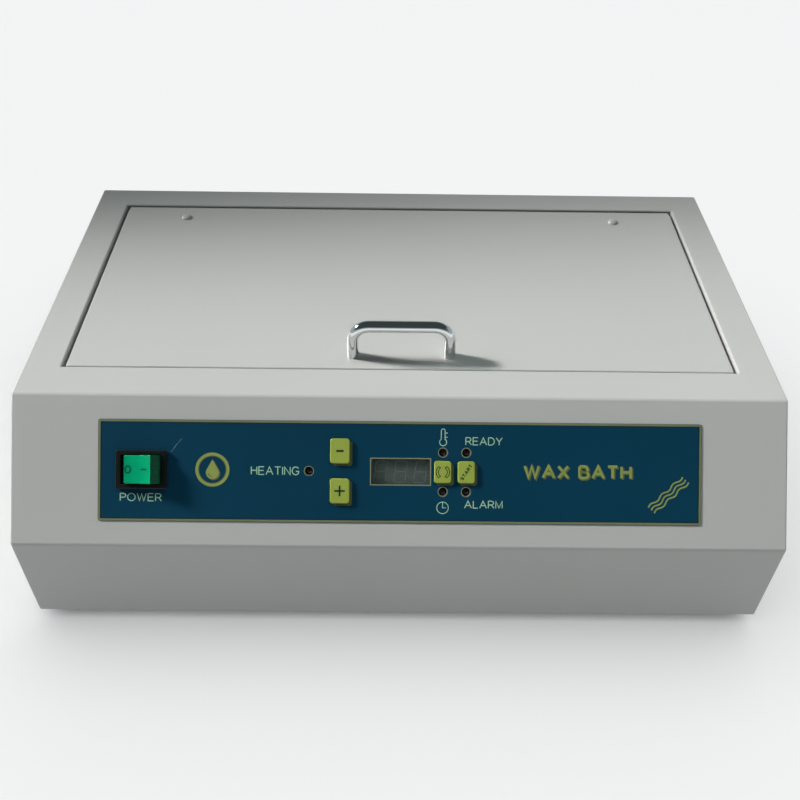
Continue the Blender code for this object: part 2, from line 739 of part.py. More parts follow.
def make_lid_liner():
    """The lid's inner skin and the seal round the tank's mouth under it."""
    top = LID_TOP - LID_SKIRT + 2.9 * MM
    front, back = LID_FRONT + SHEET + 0.5 * MM, TANK_BACK + 14 * MM
    half_x = LID_HALF - SHEET - 0.5 * MM
    middle_y = (front + back) / 2
    outline = rectangle(half_x, (back - front) / 2, 3 * MM)
    liner_at = (0, middle_y - HINGE_Y, top - 0.5 * MM - HINGE_Z)
    plate("lid_liner", [outline], 1 * MM, liner_at, STEEL, parent=LID)
    seal_top = top - 1 * MM - GAP
    thick = seal_top - FLANGE_TOP - GAP
    outer = rectangle(TANK_HALF_X + 11 * MM, TANK_HALF_Y + 11 * MM, 26 * MM, arc_steps=4)
    inner = rectangle(TANK_HALF_X + 2 * MM, TANK_HALF_Y + 2 * MM, 20 * MM, arc_steps=4)
    plate(
        "lid_seal",
        [outer, inner],
        thick,
        (0, TANK_Y - HINGE_Y, seal_top - thick / 2 - HINGE_Z),
        SILICONE,
        parent=LID,
    )


def handle_path():
    """The handle's centre line: up a leg, round two bends and down, in the lid's frame."""
    y = HANDLE_Y - HINGE_Y
    foot, bar = LID_TOP + GAP - HINGE_Z, LID_TOP + HANDLE_HEIGHT - HINGE_Z
    points = [(-HANDLE_HALF, y, foot)]
    for step in range(7):
        angle = math.pi - step * math.pi / 12
        points.append(
            (
                -HANDLE_HALF + HANDLE_BEND + HANDLE_BEND * math.cos(angle),
                y,
                bar - HANDLE_BEND + HANDLE_BEND * math.sin(angle),
            )
        )
    return points + [(-x, y, z) for x, y, z in reversed(points)]


def make_handle():
    handle = as_mesh(tube("lid_handle", handle_path(), HANDLE_ROD, None, resolution=3, parent=LID))
    handle.data.materials.append(CHROME)
    y = HANDLE_Y - HINGE_Y
    under = LID_TOP - SHEET - GAP - HINGE_Z
    head_radius, head_height, shank, reach = 3.5 * MM, 2.2 * MM, 1.9 * MM, 8 * MM
    for side, sx in (("left", -1), ("right", 1)):
        at = (sx * HANDLE_HALF, y, LID_TOP - HINGE_Z)
        deep = 2 * (reach + 1 * MM)
        hole = cylinder(f"cut_handle_{side}", shank + GAP, deep, at, sides=16, parent=LID, cutter=True)
        cut(handle, hole)
        profile = [
            (0, reach),
            (shank, reach - 0.5 * MM),
            (shank, 0),
            (head_radius, 0),
            (head_radius, -head_height * 0.6),
            (head_radius * 0.6, -head_height),
            (0, -head_height),
        ]
        turned(f"handle_screw_{side}", profile, (sx * HANDLE_HALF, y, under), STEEL, steps=12, parent=LID)


def make_hinge(side, sx):
    """A concealed hinge: a leaf riveted under the lid, a pin, and a post on the tank's flange."""
    x = sx * HINGE_X
    under_lid = LID_TOP - SHEET - HINGE_Z - GAP
    leaf_front, leaf_back, half = -20 * MM, -3.4 * MM, 12 * MM
    leaf = box_between(
        "hinge_leaf_" + side,
        (x - half, leaf_front, under_lid - SHEET),
        (x + half, leaf_back, under_lid),
        ZINC,
        parent=LID,
    )
    knuckle, eye_half = 6 * MM, 4 * MM
    turned_round_axis = {"along": "X", "sides": 20, "cutter": True}
    on_lid = {"parent": LID, **turned_round_axis}
    on_flange = {"parent": HINGE_LINE, **turned_round_axis}
    for name, dx in (("a", -1), ("b", 1)):
        centre = x + dx * (eye_half + 0.5 * MM + knuckle / 2)
        arm = box_between(
            f"join_arm_{side}_{name}",
            (centre - knuckle / 2, leaf_back - 1 * MM, under_lid - SHEET - 0.2 * MM),
            (centre + knuckle / 2, 0, under_lid - 0.25 * MM),
            parent=LID,
            cutter=True,
        )
        ring = cylinder(f"join_knuckle_{side}_{name}", EYE_RADIUS, knuckle, (centre, 0, 0), **on_lid)
        join(leaf, arm, ring)
    hole = cylinder(f"cut_leaf_{side}", PIN_RADIUS + RUNNING, 40 * MM, (x, 0, 0), **on_lid)
    rivet_hole_at = (x, RIVET_Y - HINGE_Y, 0)
    rivet_hole = cylinder(
        f"cut_leaf_rivet_{side}", 1.9 * MM, 10 * MM, rivet_hole_at, sides=16, parent=LID, cutter=True
    )
    cut(leaf, hole, rivet_hole)
    rivet_profile = [
        (0, 1.3 * MM),
        (1.8 * MM, 1.05 * MM),
        (3 * MM, 0.5 * MM),
        (3.5 * MM, 0),
        (1.6 * MM, 0),
        (1.6 * MM, -3.3 * MM),
        (2.8 * MM, -3.3 * MM),
        (2.4 * MM, -4.2 * MM),
        (0, -4.2 * MM),
    ]
    rivet_at = (x, RIVET_Y - HINGE_Y, LID_TOP + GAP - HINGE_Z)
    turned("lid_rivet_" + side, rivet_profile, rivet_at, PAINT, steps=16, parent=LID)
    foot_bottom = FLANGE_TOP + GAP - HINGE_Z
    base = box_between(
        "hinge_base_" + side,
        (x - 11 * MM, -14 * MM, foot_bottom),
        (x + 11 * MM, 1.4 * MM, foot_bottom + SHEET),
        ZINC,
        parent=HINGE_LINE,
    )
    stem = box_between(
        f"join_stem_{side}",
        (x - eye_half, -1.4 * MM, foot_bottom + 0.5 * MM),
        (x + eye_half, 1.4 * MM, 0),
        parent=HINGE_LINE,
        cutter=True,
    )
    eye = cylinder(f"join_eye_{side}", EYE_RADIUS, 2 * eye_half, (x, 0, 0), **on_flange)
    eye_hole = cylinder(f"cut_eye_{side}", PIN_RADIUS + RUNNING, 40 * MM, (x, 0, 0), **on_flange)
    join(base, stem, eye)
    cut(base, eye_hole)
    pin_turn = {"along": "X", "sides": 16, "parent": HINGE_LINE}
    cylinder("hinge_pin_" + side, PIN_RADIUS, 23 * MM, (x, 0, 0), STEEL, **pin_turn)


# ---------------------------------------------------------------- control panel


def make_label():
    """The printed overlay, with openings for the switch, window, keys and lamps."""
    outlines = [rectangle(LABEL_HALF, LABEL_HEIGHT / 2, 1.5 * MM)]
    shift = CONTROLS_S - LABEL_S
    outlines.append(
        rectangle(SWITCH_BODY[0] / 2 + GAP, SWITCH_BODY[1] / 2 + GAP, centre=(SWITCH_X, -shift))
    )
    outlines.append(rectangle(WINDOW[0] / 2, WINDOW[1] / 2, centre=(0, -shift)))
    for x, s, width, height in KEYS.values():
        outlines.append(rectangle(width / 2 + GAP, height / 2 + GAP, KEY_CORNER, centre=(x, LABEL_S - s)))
    outlines += [circle(LED_HOLE, (x, LABEL_S - s), 16) for x, s in LEDS.values()]
    label_at = (0, -LABEL_S, GAP + LABEL_THICK / 2)
    plate("label_overlay", outlines, LABEL_THICK, label_at, LABEL_BLUE, parent=PANEL)


def make_switch():
    """Rocker switch: housing with its bezel, pivot pin, and the rocker resting on its off side."""
    bezel = box(
        "switch_housing",
        BEZEL,
        (SWITCH_X, -CONTROLS_S, LABEL_TOP + GAP + BEZEL[2] / 2),
        BLACK,
        bevel=0.5 * MM,
        parent=PANEL,
    )
    body_top = LABEL_TOP + GAP + 0.8 * MM
    body_depth = SWITCH_BODY[2] + body_top
    body = box(
        "join_switch_body",
        (SWITCH_BODY[0], SWITCH_BODY[1], body_depth),
        (SWITCH_X, -CONTROLS_S, body_top - body_depth / 2),
        parent=PANEL,
        cutter=True,
    )
    join(bezel, body)
    for i, (dx, ds) in enumerate(((-7, -5), (7, -5), (-7, 5), (7, 5))):
        blade = box(
            f"join_switch_blade_{i}",
            (0.8 * MM, 6.3 * MM, 10 * MM),
            (SWITCH_X + dx * MM, -CONTROLS_S + ds * MM, -SWITCH_BODY[2] - 4 * MM),
            parent=PANEL,
            cutter=True,
        )
        join(bezel, blade)
    cavity_depth = BEZEL_TOP + 5.5 * MM
    cavity = box(
        "cut_switch_cavity",
        (2 * (ROCKER_END + GAP), 2 * (ROCKER_HALF_HEIGHT + GAP), 2 * cavity_depth),
        (SWITCH_X, -CONTROLS_S, BEZEL_TOP),
        parent=PANEL,
        cutter=True,
    )
    pin_at = (SWITCH_X, -CONTROLS_S, ROCKER_PIVOT_N)
    pin_hole = cylinder(
        "cut_switch_pin", 1.3 * MM, 20.9 * MM, pin_at, along="Y", sides=16, parent=PANEL, cutter=True
    )
    cut(bezel, cavity, pin_hole)
    cylinder("rocker_pin", 1 * MM, 20.3 * MM, pin_at, STEEL, along="Y", sides=16, parent=PANEL)
    make_rocker(pin_at)


def make_rocker(pin_at):
    low_angle = math.asin(-3 * MM / ROCKER_END)
    angles = [low_angle + (ROCKER_EDGE - low_angle) * i / 4 for i in range(5)]
    right_end = [(ROCKER_END * math.cos(a), ROCKER_END * math.sin(a)) for a in angles]
    right_end.append(ROCKER_SHOULDER)
    outline = right_end + [(0, ROCKER_WAIST)] + [(-x, n) for x, n in reversed(right_end)]
    tilt = empty("rocker_tilt", pin_at, (0, -ROCKER_TILT, 0), PANEL)
    # The outline is drawn in XY and stood up, so that it is extruded along the pivot.
    rocker = plate(
        "power_rocker",
        [outline],
        2 * ROCKER_HALF_HEIGHT,
        (0, 0, 0),
        None,
        turn=(math.pi / 2, 0, 0),
        parent=tilt,
    )
    rocker = as_mesh(rocker)
    rocker.data.materials.append(GREEN)
    hole = cylinder(
        "cut_rocker_pin", 1.3 * MM, 30 * MM, (0, 0, 0), along="Y", sides=16, parent=tilt, cutter=True
    )
    cut(rocker, hole)


def make_keys():
    for name, (x, s, width, height) in KEYS.items():
        base = -SHEET - GAP
        depth = KEY_TOP - base + 0.4 * MM
        outline = rectangle(width / 2, height / 2, KEY_CORNER)
        key = as_mesh(plate(name, [outline], depth, (x, -s, KEY_TOP - depth / 2), None, parent=PANEL))
        key.data.materials.append(KEY_LIME)
        rim_size = (width + 2 * MM, height + 2 * MM, 1 * MM)
        rim = box("join_rim_" + name, rim_size, (x, -s, base - 0.5 * MM), parent=PANEL, cutter=True)
        stem_at = (x, -s, (KEY_STEM_END + base) / 2)
        stem_long = base - KEY_STEM_END
        stem = cylinder(
            "join_stem_" + name, 1.8 * MM, stem_long, stem_at, sides=12, parent=PANEL, cutter=True
        )
        join(key, rim, stem)


def make_electronics():
    """Display, lamps and board behind the panel, and the bracket that carries the board."""
    window = (WINDOW[0] + 2.4 * MM, WINDOW[1] + 2.4 * MM, 1 * MM)
    box("display_window", window, (0, -CONTROLS_S, -0.7 * MM), SMOKE, parent=PANEL)
    module_depth = 8 * MM
    module_at = (0, -CONTROLS_S, BOARD_TOP_N + GAP + module_depth / 2)
    box("display_module", (37.7 * MM, 18.8 * MM, module_depth), module_at, BLACK, parent=PANEL)
    board_thick = 1.6 * MM
    board_at = (-8 * MM, -CONTROLS_S, BOARD_TOP_N - board_thick / 2)
    board = box("control_board", (124 * MM, 56 * MM, board_thick), board_at, BOARD, parent=PANEL)
    for name, (x, s, _, _) in KEYS.items():
        tact = box(
            "join_tact_" + name,
            (6 * MM, 6 * MM, 4 * MM),
            (x, -s, SWITCH_TOP_N - 2 * MM),
            parent=PANEL,
            cutter=True,
        )
        join(board, tact)
    for name, (x, s) in LEDS.items():
        bottom, top = BOARD_TOP_N + GAP, -0.3 * MM
        profile = [
            (0, top),
            (LED_RADIUS * 0.7, top - 0.5 * MM),
            (LED_RADIUS, top - 1.6 * MM),
            (LED_RADIUS, bottom + 1 * MM),
            (LED_RADIUS + 0.4 * MM, bottom + 1 * MM),
            (LED_RADIUS + 0.4 * MM, bottom),
            (0, bottom),
        ]
        turned(name, profile, (x, -s, 0), LENS, steps=12, parent=PANEL)
    bracket_n = BOARD_TOP_N - board_thick - GAP
    bracket = box(
        "board_bracket",
        (124 * MM, 60 * MM, SHEET),
        (-8 * MM, -CONTROLS_S, bracket_n - SHEET / 2),
        ZINC,
        parent=PANEL,
    )
    for i, sy in enumerate((-1, 1)):
        wall_at = -CONTROLS_S + sy * (30 * MM - SHEET / 2)
        top = -SHEET - GAP
        wall = box_between(
            f"join_bracket_{i}",
            (-70 * MM, wall_at - SHEET / 2, bracket_n - SHEET),
            (54 * MM, wall_at + SHEET / 2, top),
            parent=PANEL,
            cutter=True,
        )
        join(bracket, wall)


def make_power_parts():
    """Power board on its posts, the transformer, and the wires to the switch and the heater."""
    floor = BASE_TOP + GAP
    board_z = floor + 7 * MM
    centre = (150 * MM, -98 * MM)
    board = box("power_board", (84 * MM, 52 * MM, 1.6 * MM), (*centre, board_z), BOARD)
    for i, (sx, sy) in enumerate(((-1, -1), (1, -1), (-1, 1), (1, 1))):
        at = (centre[0] + sx * 37 * MM, centre[1] + sy * 21 * MM, (floor + board_z) / 2)
        join(board, cylinder(f"join_post_{i}", 3 * MM, board_z - floor, at, sides=8, cutter=True))
    parts = (
        ((28 * MM, 12.5 * MM, 15 * MM), (-22 * MM, 12 * MM)),
        ((40 * MM, 9 * MM, 11 * MM), (12 * MM, -18 * MM)),
    )
    for i, (size, (dx, dy)) in enumerate(parts):
        at = (centre[0] + dx, centre[1] + dy, board_z + size[2] / 2 + 0.4 * MM)
        join(board, box(f"join_part_{i}", size, at, cutter=True))
    core_at = (72 * MM, -100 * MM, floor + 17 * MM)
    core = box("transformer", (42 * MM, 34 * MM, 14 * MM), core_at, DARK_STEEL)
    coil = box("join_coil", (28 * MM, 28 * MM, 34 * MM), core_at, bevel=2 * MM, cutter=True)
    join(core, coil)
    wire = 2.2 * MM
    mains = [
        (-170, 121.6, 60),
        (-172, 116.5, 60),
        (-190, 116, 60),
        (-212, 117, 58),
        (-226, 110, 55),
        (-230, 92, 52),
        (-230, 60, 50),
        (-230, 0, 50),
        (-230, -50, 50),
        (-228, -78, 54),
        (-216, -90, 60),
        (-196, -93, 68),
        (-174, -93, 76),
        (-164, -97, 83),
        (-163, -105.4, 91.4),
    ]
    tube("mains_wire", [tuple(v * MM for v in p) for p in mains], wire, RUBBER)
    heater = [
        (159, 24, 34),
        (160, 22, 24),
        (163, 14, 18),
        (168, 4, 17),
        (170, -34, 17),
        (168, -54, 18),
        (162, -64, 24),
        (158, -72, 32),
        (156, -82, 30),
        (156, -84, 24),
        (156, -84, 18),
    ]
    tube("heater_lead", [tuple(v * MM for v in p) for p in heater], 1.6 * MM, SILICONE)


# ---------------------------------------------------------------- the whole bath

clear_scene()
PARTS = make_collection("paraffin_bath")
CUTTERS = make_collection("cutters")

PAINT = make_material("painted_steel", (0.72, 0.73, 0.71), 0.4)
STEEL = make_material("stainless_steel", (0.66, 0.67, 0.68), 0.3, 1.0)
ZINC = make_material("zinc_plated_steel", (0.55, 0.57, 0.58), 0.4, 1.0)
DARK_STEEL = make_material("laminated_steel", (0.2, 0.2, 0.21), 0.6, 0.8)
CHROME = make_material("chrome", (0.8, 0.8, 0.8), 0.06, 1.0)
BRASS = make_material("nickel_brass", (0.7, 0.66, 0.5), 0.3, 1.0)
BLACK = make_material("black_plastic", (0.02, 0.02, 0.022), 0.4)
GREEN = make_material("green_lens", (0.0, 0.42, 0.2), 0.2)
LABEL_BLUE = make_material("label_blue", (0.005, 0.05, 0.13), 0.35)
KEY_LIME = make_material("key_lime", (0.5, 0.56, 0.1), 0.35)
SMOKE = make_material("smoked_window", (0.06, 0.09, 0.085), 0.15)
LENS = make_material("lamp_lens", (0.06, 0.02, 0.015), 0.2)
BOARD = make_material("circuit_board", (0.02, 0.18, 0.07), 0.5)
RUBBER = make_material("black_rubber", (0.02, 0.02, 0.02), 0.8)
SILICONE = make_material("silicone", (0.42, 0.08, 0.04), 0.6)
WOOL = make_material("mineral_wool", (0.6, 0.56, 0.4), 0.95)

# Local X runs right, local Y up the slope and local Z out of the panel.
PANEL = empty("panel_frame", (0, Y_FOLD, Z_TOP), (PANEL_ANGLE, 0, 0))
LID = empty("lid_axis", (0, HINGE_Y, HINGE_Z))
HINGE_LINE = empty("hinge_line", (0, HINGE_Y, HINGE_Z))

make_casing()
make_base()
make_rear_panel()
make_inlet()
make_tank()
make_grille()
make_jacket()
make_tank_rails()
make_heating()
make_lid()
make_lid_liner()
make_handle()
for hinge_side, direction in (("left", -1), ("right", 1)):
    make_hinge(hinge_side, direction)
make_label()
make_switch()
make_keys()
make_electronics()
make_power_parts()
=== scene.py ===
"""Looks of the paraffin wax bath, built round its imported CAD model.

Metres, +Z up, the front faces -Y. Shapes on the control panel are drawn in the panel's own frame: x to
the right, y up the slope from the fold and z out of the panel. Places on it are given as x and s, the
distance down the slope from the fold.
"""

import json
import math

import bmesh
import bpy
from mathutils import Matrix, Vector


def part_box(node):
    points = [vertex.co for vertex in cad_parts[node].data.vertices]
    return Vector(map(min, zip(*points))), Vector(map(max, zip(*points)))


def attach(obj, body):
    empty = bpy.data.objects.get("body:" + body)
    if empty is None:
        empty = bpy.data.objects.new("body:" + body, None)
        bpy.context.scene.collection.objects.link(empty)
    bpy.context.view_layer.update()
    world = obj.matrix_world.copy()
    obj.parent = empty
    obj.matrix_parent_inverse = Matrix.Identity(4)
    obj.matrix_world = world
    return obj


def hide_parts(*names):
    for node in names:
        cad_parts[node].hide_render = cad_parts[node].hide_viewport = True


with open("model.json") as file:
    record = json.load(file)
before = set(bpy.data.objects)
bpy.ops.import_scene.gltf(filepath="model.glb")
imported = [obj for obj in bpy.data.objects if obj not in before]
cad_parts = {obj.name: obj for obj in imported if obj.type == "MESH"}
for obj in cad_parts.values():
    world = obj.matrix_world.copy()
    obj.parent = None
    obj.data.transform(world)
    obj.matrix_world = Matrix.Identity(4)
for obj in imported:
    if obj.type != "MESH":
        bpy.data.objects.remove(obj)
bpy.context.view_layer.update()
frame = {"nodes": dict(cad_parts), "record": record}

MM = 0.001
GAP = 0.3 * MM
SHEET = 1.2 * MM
FOLD_RADIUS = 1.3 * MM
FOLD_STEPS = 6
SHARP_ANGLE = math.radians(38)  # edges sharper than this are shaded as edges
EDGE_ROUNDING = 0.2 * MM

# Casing and lid opening
case_low, case_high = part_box("casing")
HALF_WIDTH = case_high.x
Y_FRONT, Y_BACK = case_low.y, case_high.y
CASE_BOTTOM, Z_TOP = case_low.z, case_high.z
PANEL_ANGLE = math.pi / 4
PANEL_DROP = 95 * MM * math.sin(PANEL_ANGLE)
Y_FOLD = Y_FRONT + PANEL_DROP  # the panel slopes at 45 degrees, so it is as deep as it is high
OPENING_HALF = 220.5 * MM
OPENING_FRONT, OPENING_BACK = Y_FOLD + 27 * MM, Y_BACK - 23 * MM
OPENING_WALL = 12.5 * MM
BOTTOM_FLANGE = 27 * MM

LID_SPREAD = 0.7 * MM  # how much further out than the CAD's the cover's sides and front stand
lid_low, lid_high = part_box("lid_panel")
lid_low -= Vector((LID_SPREAD, LID_SPREAD, 0))
lid_high.x += LID_SPREAD
LID_TOP = lid_high.z
RIVET_HEAD = (4 * MM, 2.1 * MM)  # radius and height
RIVET_SHANK = (2.8 * MM, 1.2 * MM)
handle_low, handle_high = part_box("lid_handle")
HANDLE_Y = (handle_low.y + handle_high.y) / 2
HANDLE_ROD = 4 * MM
HANDLE_BEND = 11 * MM

# Tank
tank_low, tank_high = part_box("tank")
FLANGE_TOP = tank_high.z
TANK_FLOOR = tank_low.z + SHEET
TANK_HALF_X = 200 * MM
TANK_FRONT, TANK_BACK = Y_FOLD + 45 * MM, Y_FOLD + 190 * MM
TANK_Y = (TANK_FRONT + TANK_BACK) / 2
TANK_TAPER = 3 * MM
TANK_CORNER = 22 * MM
TANK_FLOOR_RADIUS = 10 * MM
TANK_MOUTH_RADIUS = 2.5 * MM

# Control panel
PANEL = Matrix.Translation((0, Y_FOLD, Z_TOP)) @ Matrix.Rotation(PANEL_ANGLE, 4, "X")
PANEL_CUT = 4 * MM  # how far the tools that cut the panel's sheet reach, each way
SWITCH_CUT = (30 * MM, 22 * MM)
WINDOW_CUT = (40 * MM, 19 * MM)
LABEL_HALF = 190 * MM
LABEL_HEIGHT = 64 * MM
LABEL_S = 47.6 * MM
LABEL_BOTTOM, LABEL_TOP = 0.05 * MM, 0.45 * MM
LABEL_CORNER = 1.5 * MM
LABEL_ROUNDING = 0.1 * MM
PRINT = LABEL_TOP + 0.03 * MM
PRINT_UNDER, PRINT_OVER, PRINT_TOP = PRINT - 0.01 * MM, PRINT + 0.02 * MM, PRINT + 0.04 * MM
BORDER_MARGIN = 0.2 * MM
BORDER = 1.5 * MM
BORDER_LINE = 0.55 * MM
BORDER_CORNER = 0.4 * MM
WORD_STROKE = 0.62 * MM
WORD_SPACING = 0.22
TITLE_STROKE = 1.7 * MM
TITLE_SPACING = 0.3
TITLE_SHADOW = (0.9 * MM, -0.8 * MM)
CONTROLS_S = 47.2 * MM
SWITCH_X = -162.5 * MM
SWITCH_BODY = (29.4 * MM, 21.4 * MM)
SWITCH_CORNER = 0.5 * MM
SWITCH_FLOOR, SWITCH_BACK = -5.5 * MM, -22.8 * MM
BEZEL = (32 * MM, 24.2 * MM)
BEZEL_BOTTOM, BEZEL_TOP = 0.75 * MM, 3 * MM
BEZEL_CORNER = 1.2 * MM
BEZEL_ROUNDING = 0.75 * MM
ROCKER_TILT = math.radians(12)
ROCKER_PIVOT = 0.9 * MM
ROCKER_END = 12.2 * MM
ROCKER_EDGE = 8  # degrees up from the pivot, where the round end meets the facet
ROCKER_SHOULDER = (8.7 * MM, 5.9 * MM)
ROCKER_WAIST = 5.2 * MM
ROCKER_CURVE = 2
ROCKER_HALF_HEIGHT = 8.9 * MM
ROCKER_MARKS = (-6.5 * MM, 4.1 * MM)
ROCKER_STROKE = 0.9 * MM
WINDOW = (36.6 * MM, 15.6 * MM)
WINDOW_FRAME = (0.95 * MM, 0.2 * MM)  # its outer and inner edge, out from the window
DISPLAY_HALF = (18.85 * MM, 9.4 * MM)
DISPLAY_DEPTH = (-2.7 * MM, -2.55 * MM)
SEGMENT_HEIGHT = -2.5 * MM
DIGIT_PITCH = 12.7 * MM
DIGIT_SLANT = 0.15
LED_RADIUS, LED_BASE, LED_HOLE = 2.2 * MM, 2.6 * MM, 2.6 * MM
LED_RING = (0.62 * MM, 0.1 * MM)  # its outer and inner edge, out from the lamp's hole
LEDS = {
    "led_heating": (-57.7 * MM, CONTROLS_S),
    "led_temperature": (26.6 * MM, 34.9 * MM),
    "led_ready": (41.3 * MM, 34.9 * MM),
    "led_timer": (26.6 * MM, 59.6 * MM),
    "led_alarm": (41.3 * MM, 59.6 * MM),
}
KEYS = {
    "key_minus": (-38.2 * MM, 34.5 * MM, 12.3 * MM, 15.7 * MM),
    "key_plus": (-38.2 * MM, 59.6 * MM, 12.3 * MM, 15.7 * MM),
    "key_select": (26.5 * MM, CONTROLS_S, 10.8 * MM, 13.9 * MM),
    "key_start": (41.3 * MM, CONTROLS_S, 10.8 * MM, 13.9 * MM),
}
KEY_SHADOW = (1.6 * MM, 1.5 * MM)
KEY_BOTTOM, KEY_TOP = -1.6 * MM, 2.2 * MM
KEY_CORNER = 1.8 * MM
KEY_ROUNDING = 0.55 * MM
KEY_BODIES = {
    "key_minus": "minus_button",
    "key_plus": "plus_button",
    "key_select": "select_button",
    "key_start": "start_button",
}

# Light and camera. Colours are linear.
BEAM_EDGE = 73 * MM  # where the beams' back edge crosses the middle of the top
BEAM_EDGE_SLOPE = 0.11  # and its slant from left to right
BEAM_SIZE, BEAM_REACH = (0.75, 0.9), 1.6
HORIZON, CEILING = (0.36, 0.425, 0.425, 1), (0.045, 0.055, 0.055, 1)
FRONT_FADE, REAR_FADE = (0.2, 0.3), (0.42, 0.6)  # heights between which the horizon turns to ceiling
FRONT_END, REAR_END = -0.5, -0.1  # where the front's fade ends and the rear's is reached, along Y
CARD_PLACE, CARD_AIM = (-0.8, -2.1, 0.7), (0, 0, 0.05)
SUN_ANGLE = math.radians(120)
FLOOR_SIZE = 40
CAMERA_PLACE = (-0.00762, -0.52134, 0.52097)
CAMERA_TURN = (44.739, -0.757, -0.013)  # degrees
CAMERA_LENS, CAMERA_SENSOR = 40.494, 36
CAMERA_SHIFT = (0.0035, 0.0756)


# ---------------------------------------------------------------- shapes


def link(name, data):
    obj = bpy.data.objects.new(name, data)
    bpy.context.scene.collection.objects.link(obj)
    return obj


def flatten(obj):
    """The object's shape as a new mesh, modifiers applied. The object itself is removed."""
    bpy.context.view_layer.update()
    evaluated = obj.evaluated_get(bpy.context.evaluated_depsgraph_get())
    mesh = bpy.data.meshes.new_from_object(evaluated)
    mesh.materials.clear()
    bpy.data.objects.remove(obj)
    bm = bmesh.new()
    bm.from_mesh(mesh)
    bmesh.ops.remove_doubles(bm, verts=bm.verts, dist=0.000001)
    bm.to_mesh(mesh)
    bm.free()
    return mesh


def placed(mesh, matrix):
    mesh.transform(matrix)
    return mesh


def on_panel(x, s):
    return PANEL @ Matrix.Translation((x, -s, 0))


def add_piece(name, mesh, material, body, stands_for=()):
    """Shades a finished mesh, gives it its material and sets it riding on its CAD body."""
    mesh.name = name
    obj = link(name, mesh)
    mesh.materials.append(material)
    mesh.shade_smooth()
    mesh.set_sharp_from_angle(angle=SHARP_ANGLE)
    weighted = obj.modifiers.new("Weighted normals", "WEIGHTED_NORMAL")
    weighted.keep_sharp = True
    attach(obj, body)
    if stands_for:
        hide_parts(*stands_for)
    return obj


def mesh_from(bm):
    mesh = bpy.data.meshes.new("shape")
    bm.to_mesh(mesh)
    bm.free()
    return mesh


def box_shape(low, high, bevel=0.0, segments=3):
    low, high = Vector(low), Vector(high)
    bm = bmesh.new()
    middle = Matrix.Translation((low + high) / 2)
    bmesh.ops.create_cube(bm, size=1, matrix=middle @ Matrix.Diagonal((*(high - low), 1)))
    obj = link("shape", mesh_from(bm))
    if bevel:
        add_bevel(obj, bevel, segments)
    return flatten(obj)


def add_bevel(obj, width, segments):
    bevel = obj.modifiers.new("Bevel", "BEVEL")
    bevel.width = width
    bevel.segments = segments
    bevel.limit_method = "ANGLE"
    bevel.angle_limit = math.radians(30)


def add_solidify(obj, thickness):
    solidify = obj.modifiers.new("Solidify", "SOLIDIFY")
    solidify.thickness = thickness
    solidify.offset = -1
    solidify.use_even_offset = True


def cut_away(mesh, others):
    """Cuts the other meshes from mesh."""
    obj = link("shape", mesh)
    tools = [link("tool", other) for other in others]
    for tool in tools:
        boolean = obj.modifiers.new("Boolean", "BOOLEAN")
        boolean.operation = "DIFFERENCE"
        boolean.object = tool
    made = flatten(obj)
    for tool in tools:
        bpy.data.objects.remove(tool)
    return made


def rectangle(half_x, half_y, corner=0.0, centre=(0, 0), steps=6):
    """Outline of a rectangle with rounded corners, as (x, y) points."""
    signs = ((1, 1), (-1, 1), (-1, -1), (1, -1))
    if not corner:
        return [(centre[0] + sx * half_x, centre[1] + sy * half_y) for sx, sy in signs]
    outline = []
    for quarter, (sx, sy) in enumerate(signs):
        for step in range(steps + 1):
            angle = (quarter + step / steps) * math.pi / 2
            x = sx * (half_x - corner) + corner * math.cos(angle)
            y = sy * (half_y - corner) + corner * math.sin(angle)
            outline.append((centre[0] + x, centre[1] + y))
    return outline


def oval(centre, half_x, half_y, start, end, steps=28):
    """Points from start to end, in degrees, round centre."""
    angles = [math.radians(start + (end - start) * i / steps) for i in range(steps + 1)]
    return [(centre[0] + half_x * math.cos(a), centre[1] + half_y * math.sin(a)) for a in angles]


def arc(radius, centre, start, end, steps=24):
    return oval(centre, radius, radius, start, end, steps)


def circle(radius, centre=(0, 0), sides=40):
    return arc(radius, centre, 0, 360, sides)[:-1]


def outline_curve(outlines, fill):
    """A filled curve in XY from closed outlines, the inner ones being holes."""
    curve = bpy.data.curves.new("shape", "CURVE")
    curve.dimensions = "2D"
    curve.fill_mode = fill
    for outline in outlines:
        spline = curve.splines.new("POLY")
        spline.points.add(len(outline) - 1)
        spline.use_cyclic_u = True
        for point, (x, y) in zip(spline.points, outline):
            point.co = (x, y, 0, 1)
    return curve


def plate_shape(outlines, low, high, rounding=0.0, steps=3):
    """A plate in XY from low to high, with its edges rounded."""
    curve = outline_curve(outlines, "BOTH")
    curve.extrude = (high - low) / 2 - rounding
    curve.bevel_depth = rounding
    curve.bevel_resolution = steps
    curve.offset = -rounding
    return placed(flatten(link("shape", curve)), Matrix.Translation((0, 0, (low + high) / 2)))


def film_shape(outlines, height):
    """A flat layer of print in XY, without thickness."""
    film = flatten(link("shape", outline_curve(outlines, "FRONT")))
    return placed(film, Matrix.Translation((0, 0, height)))


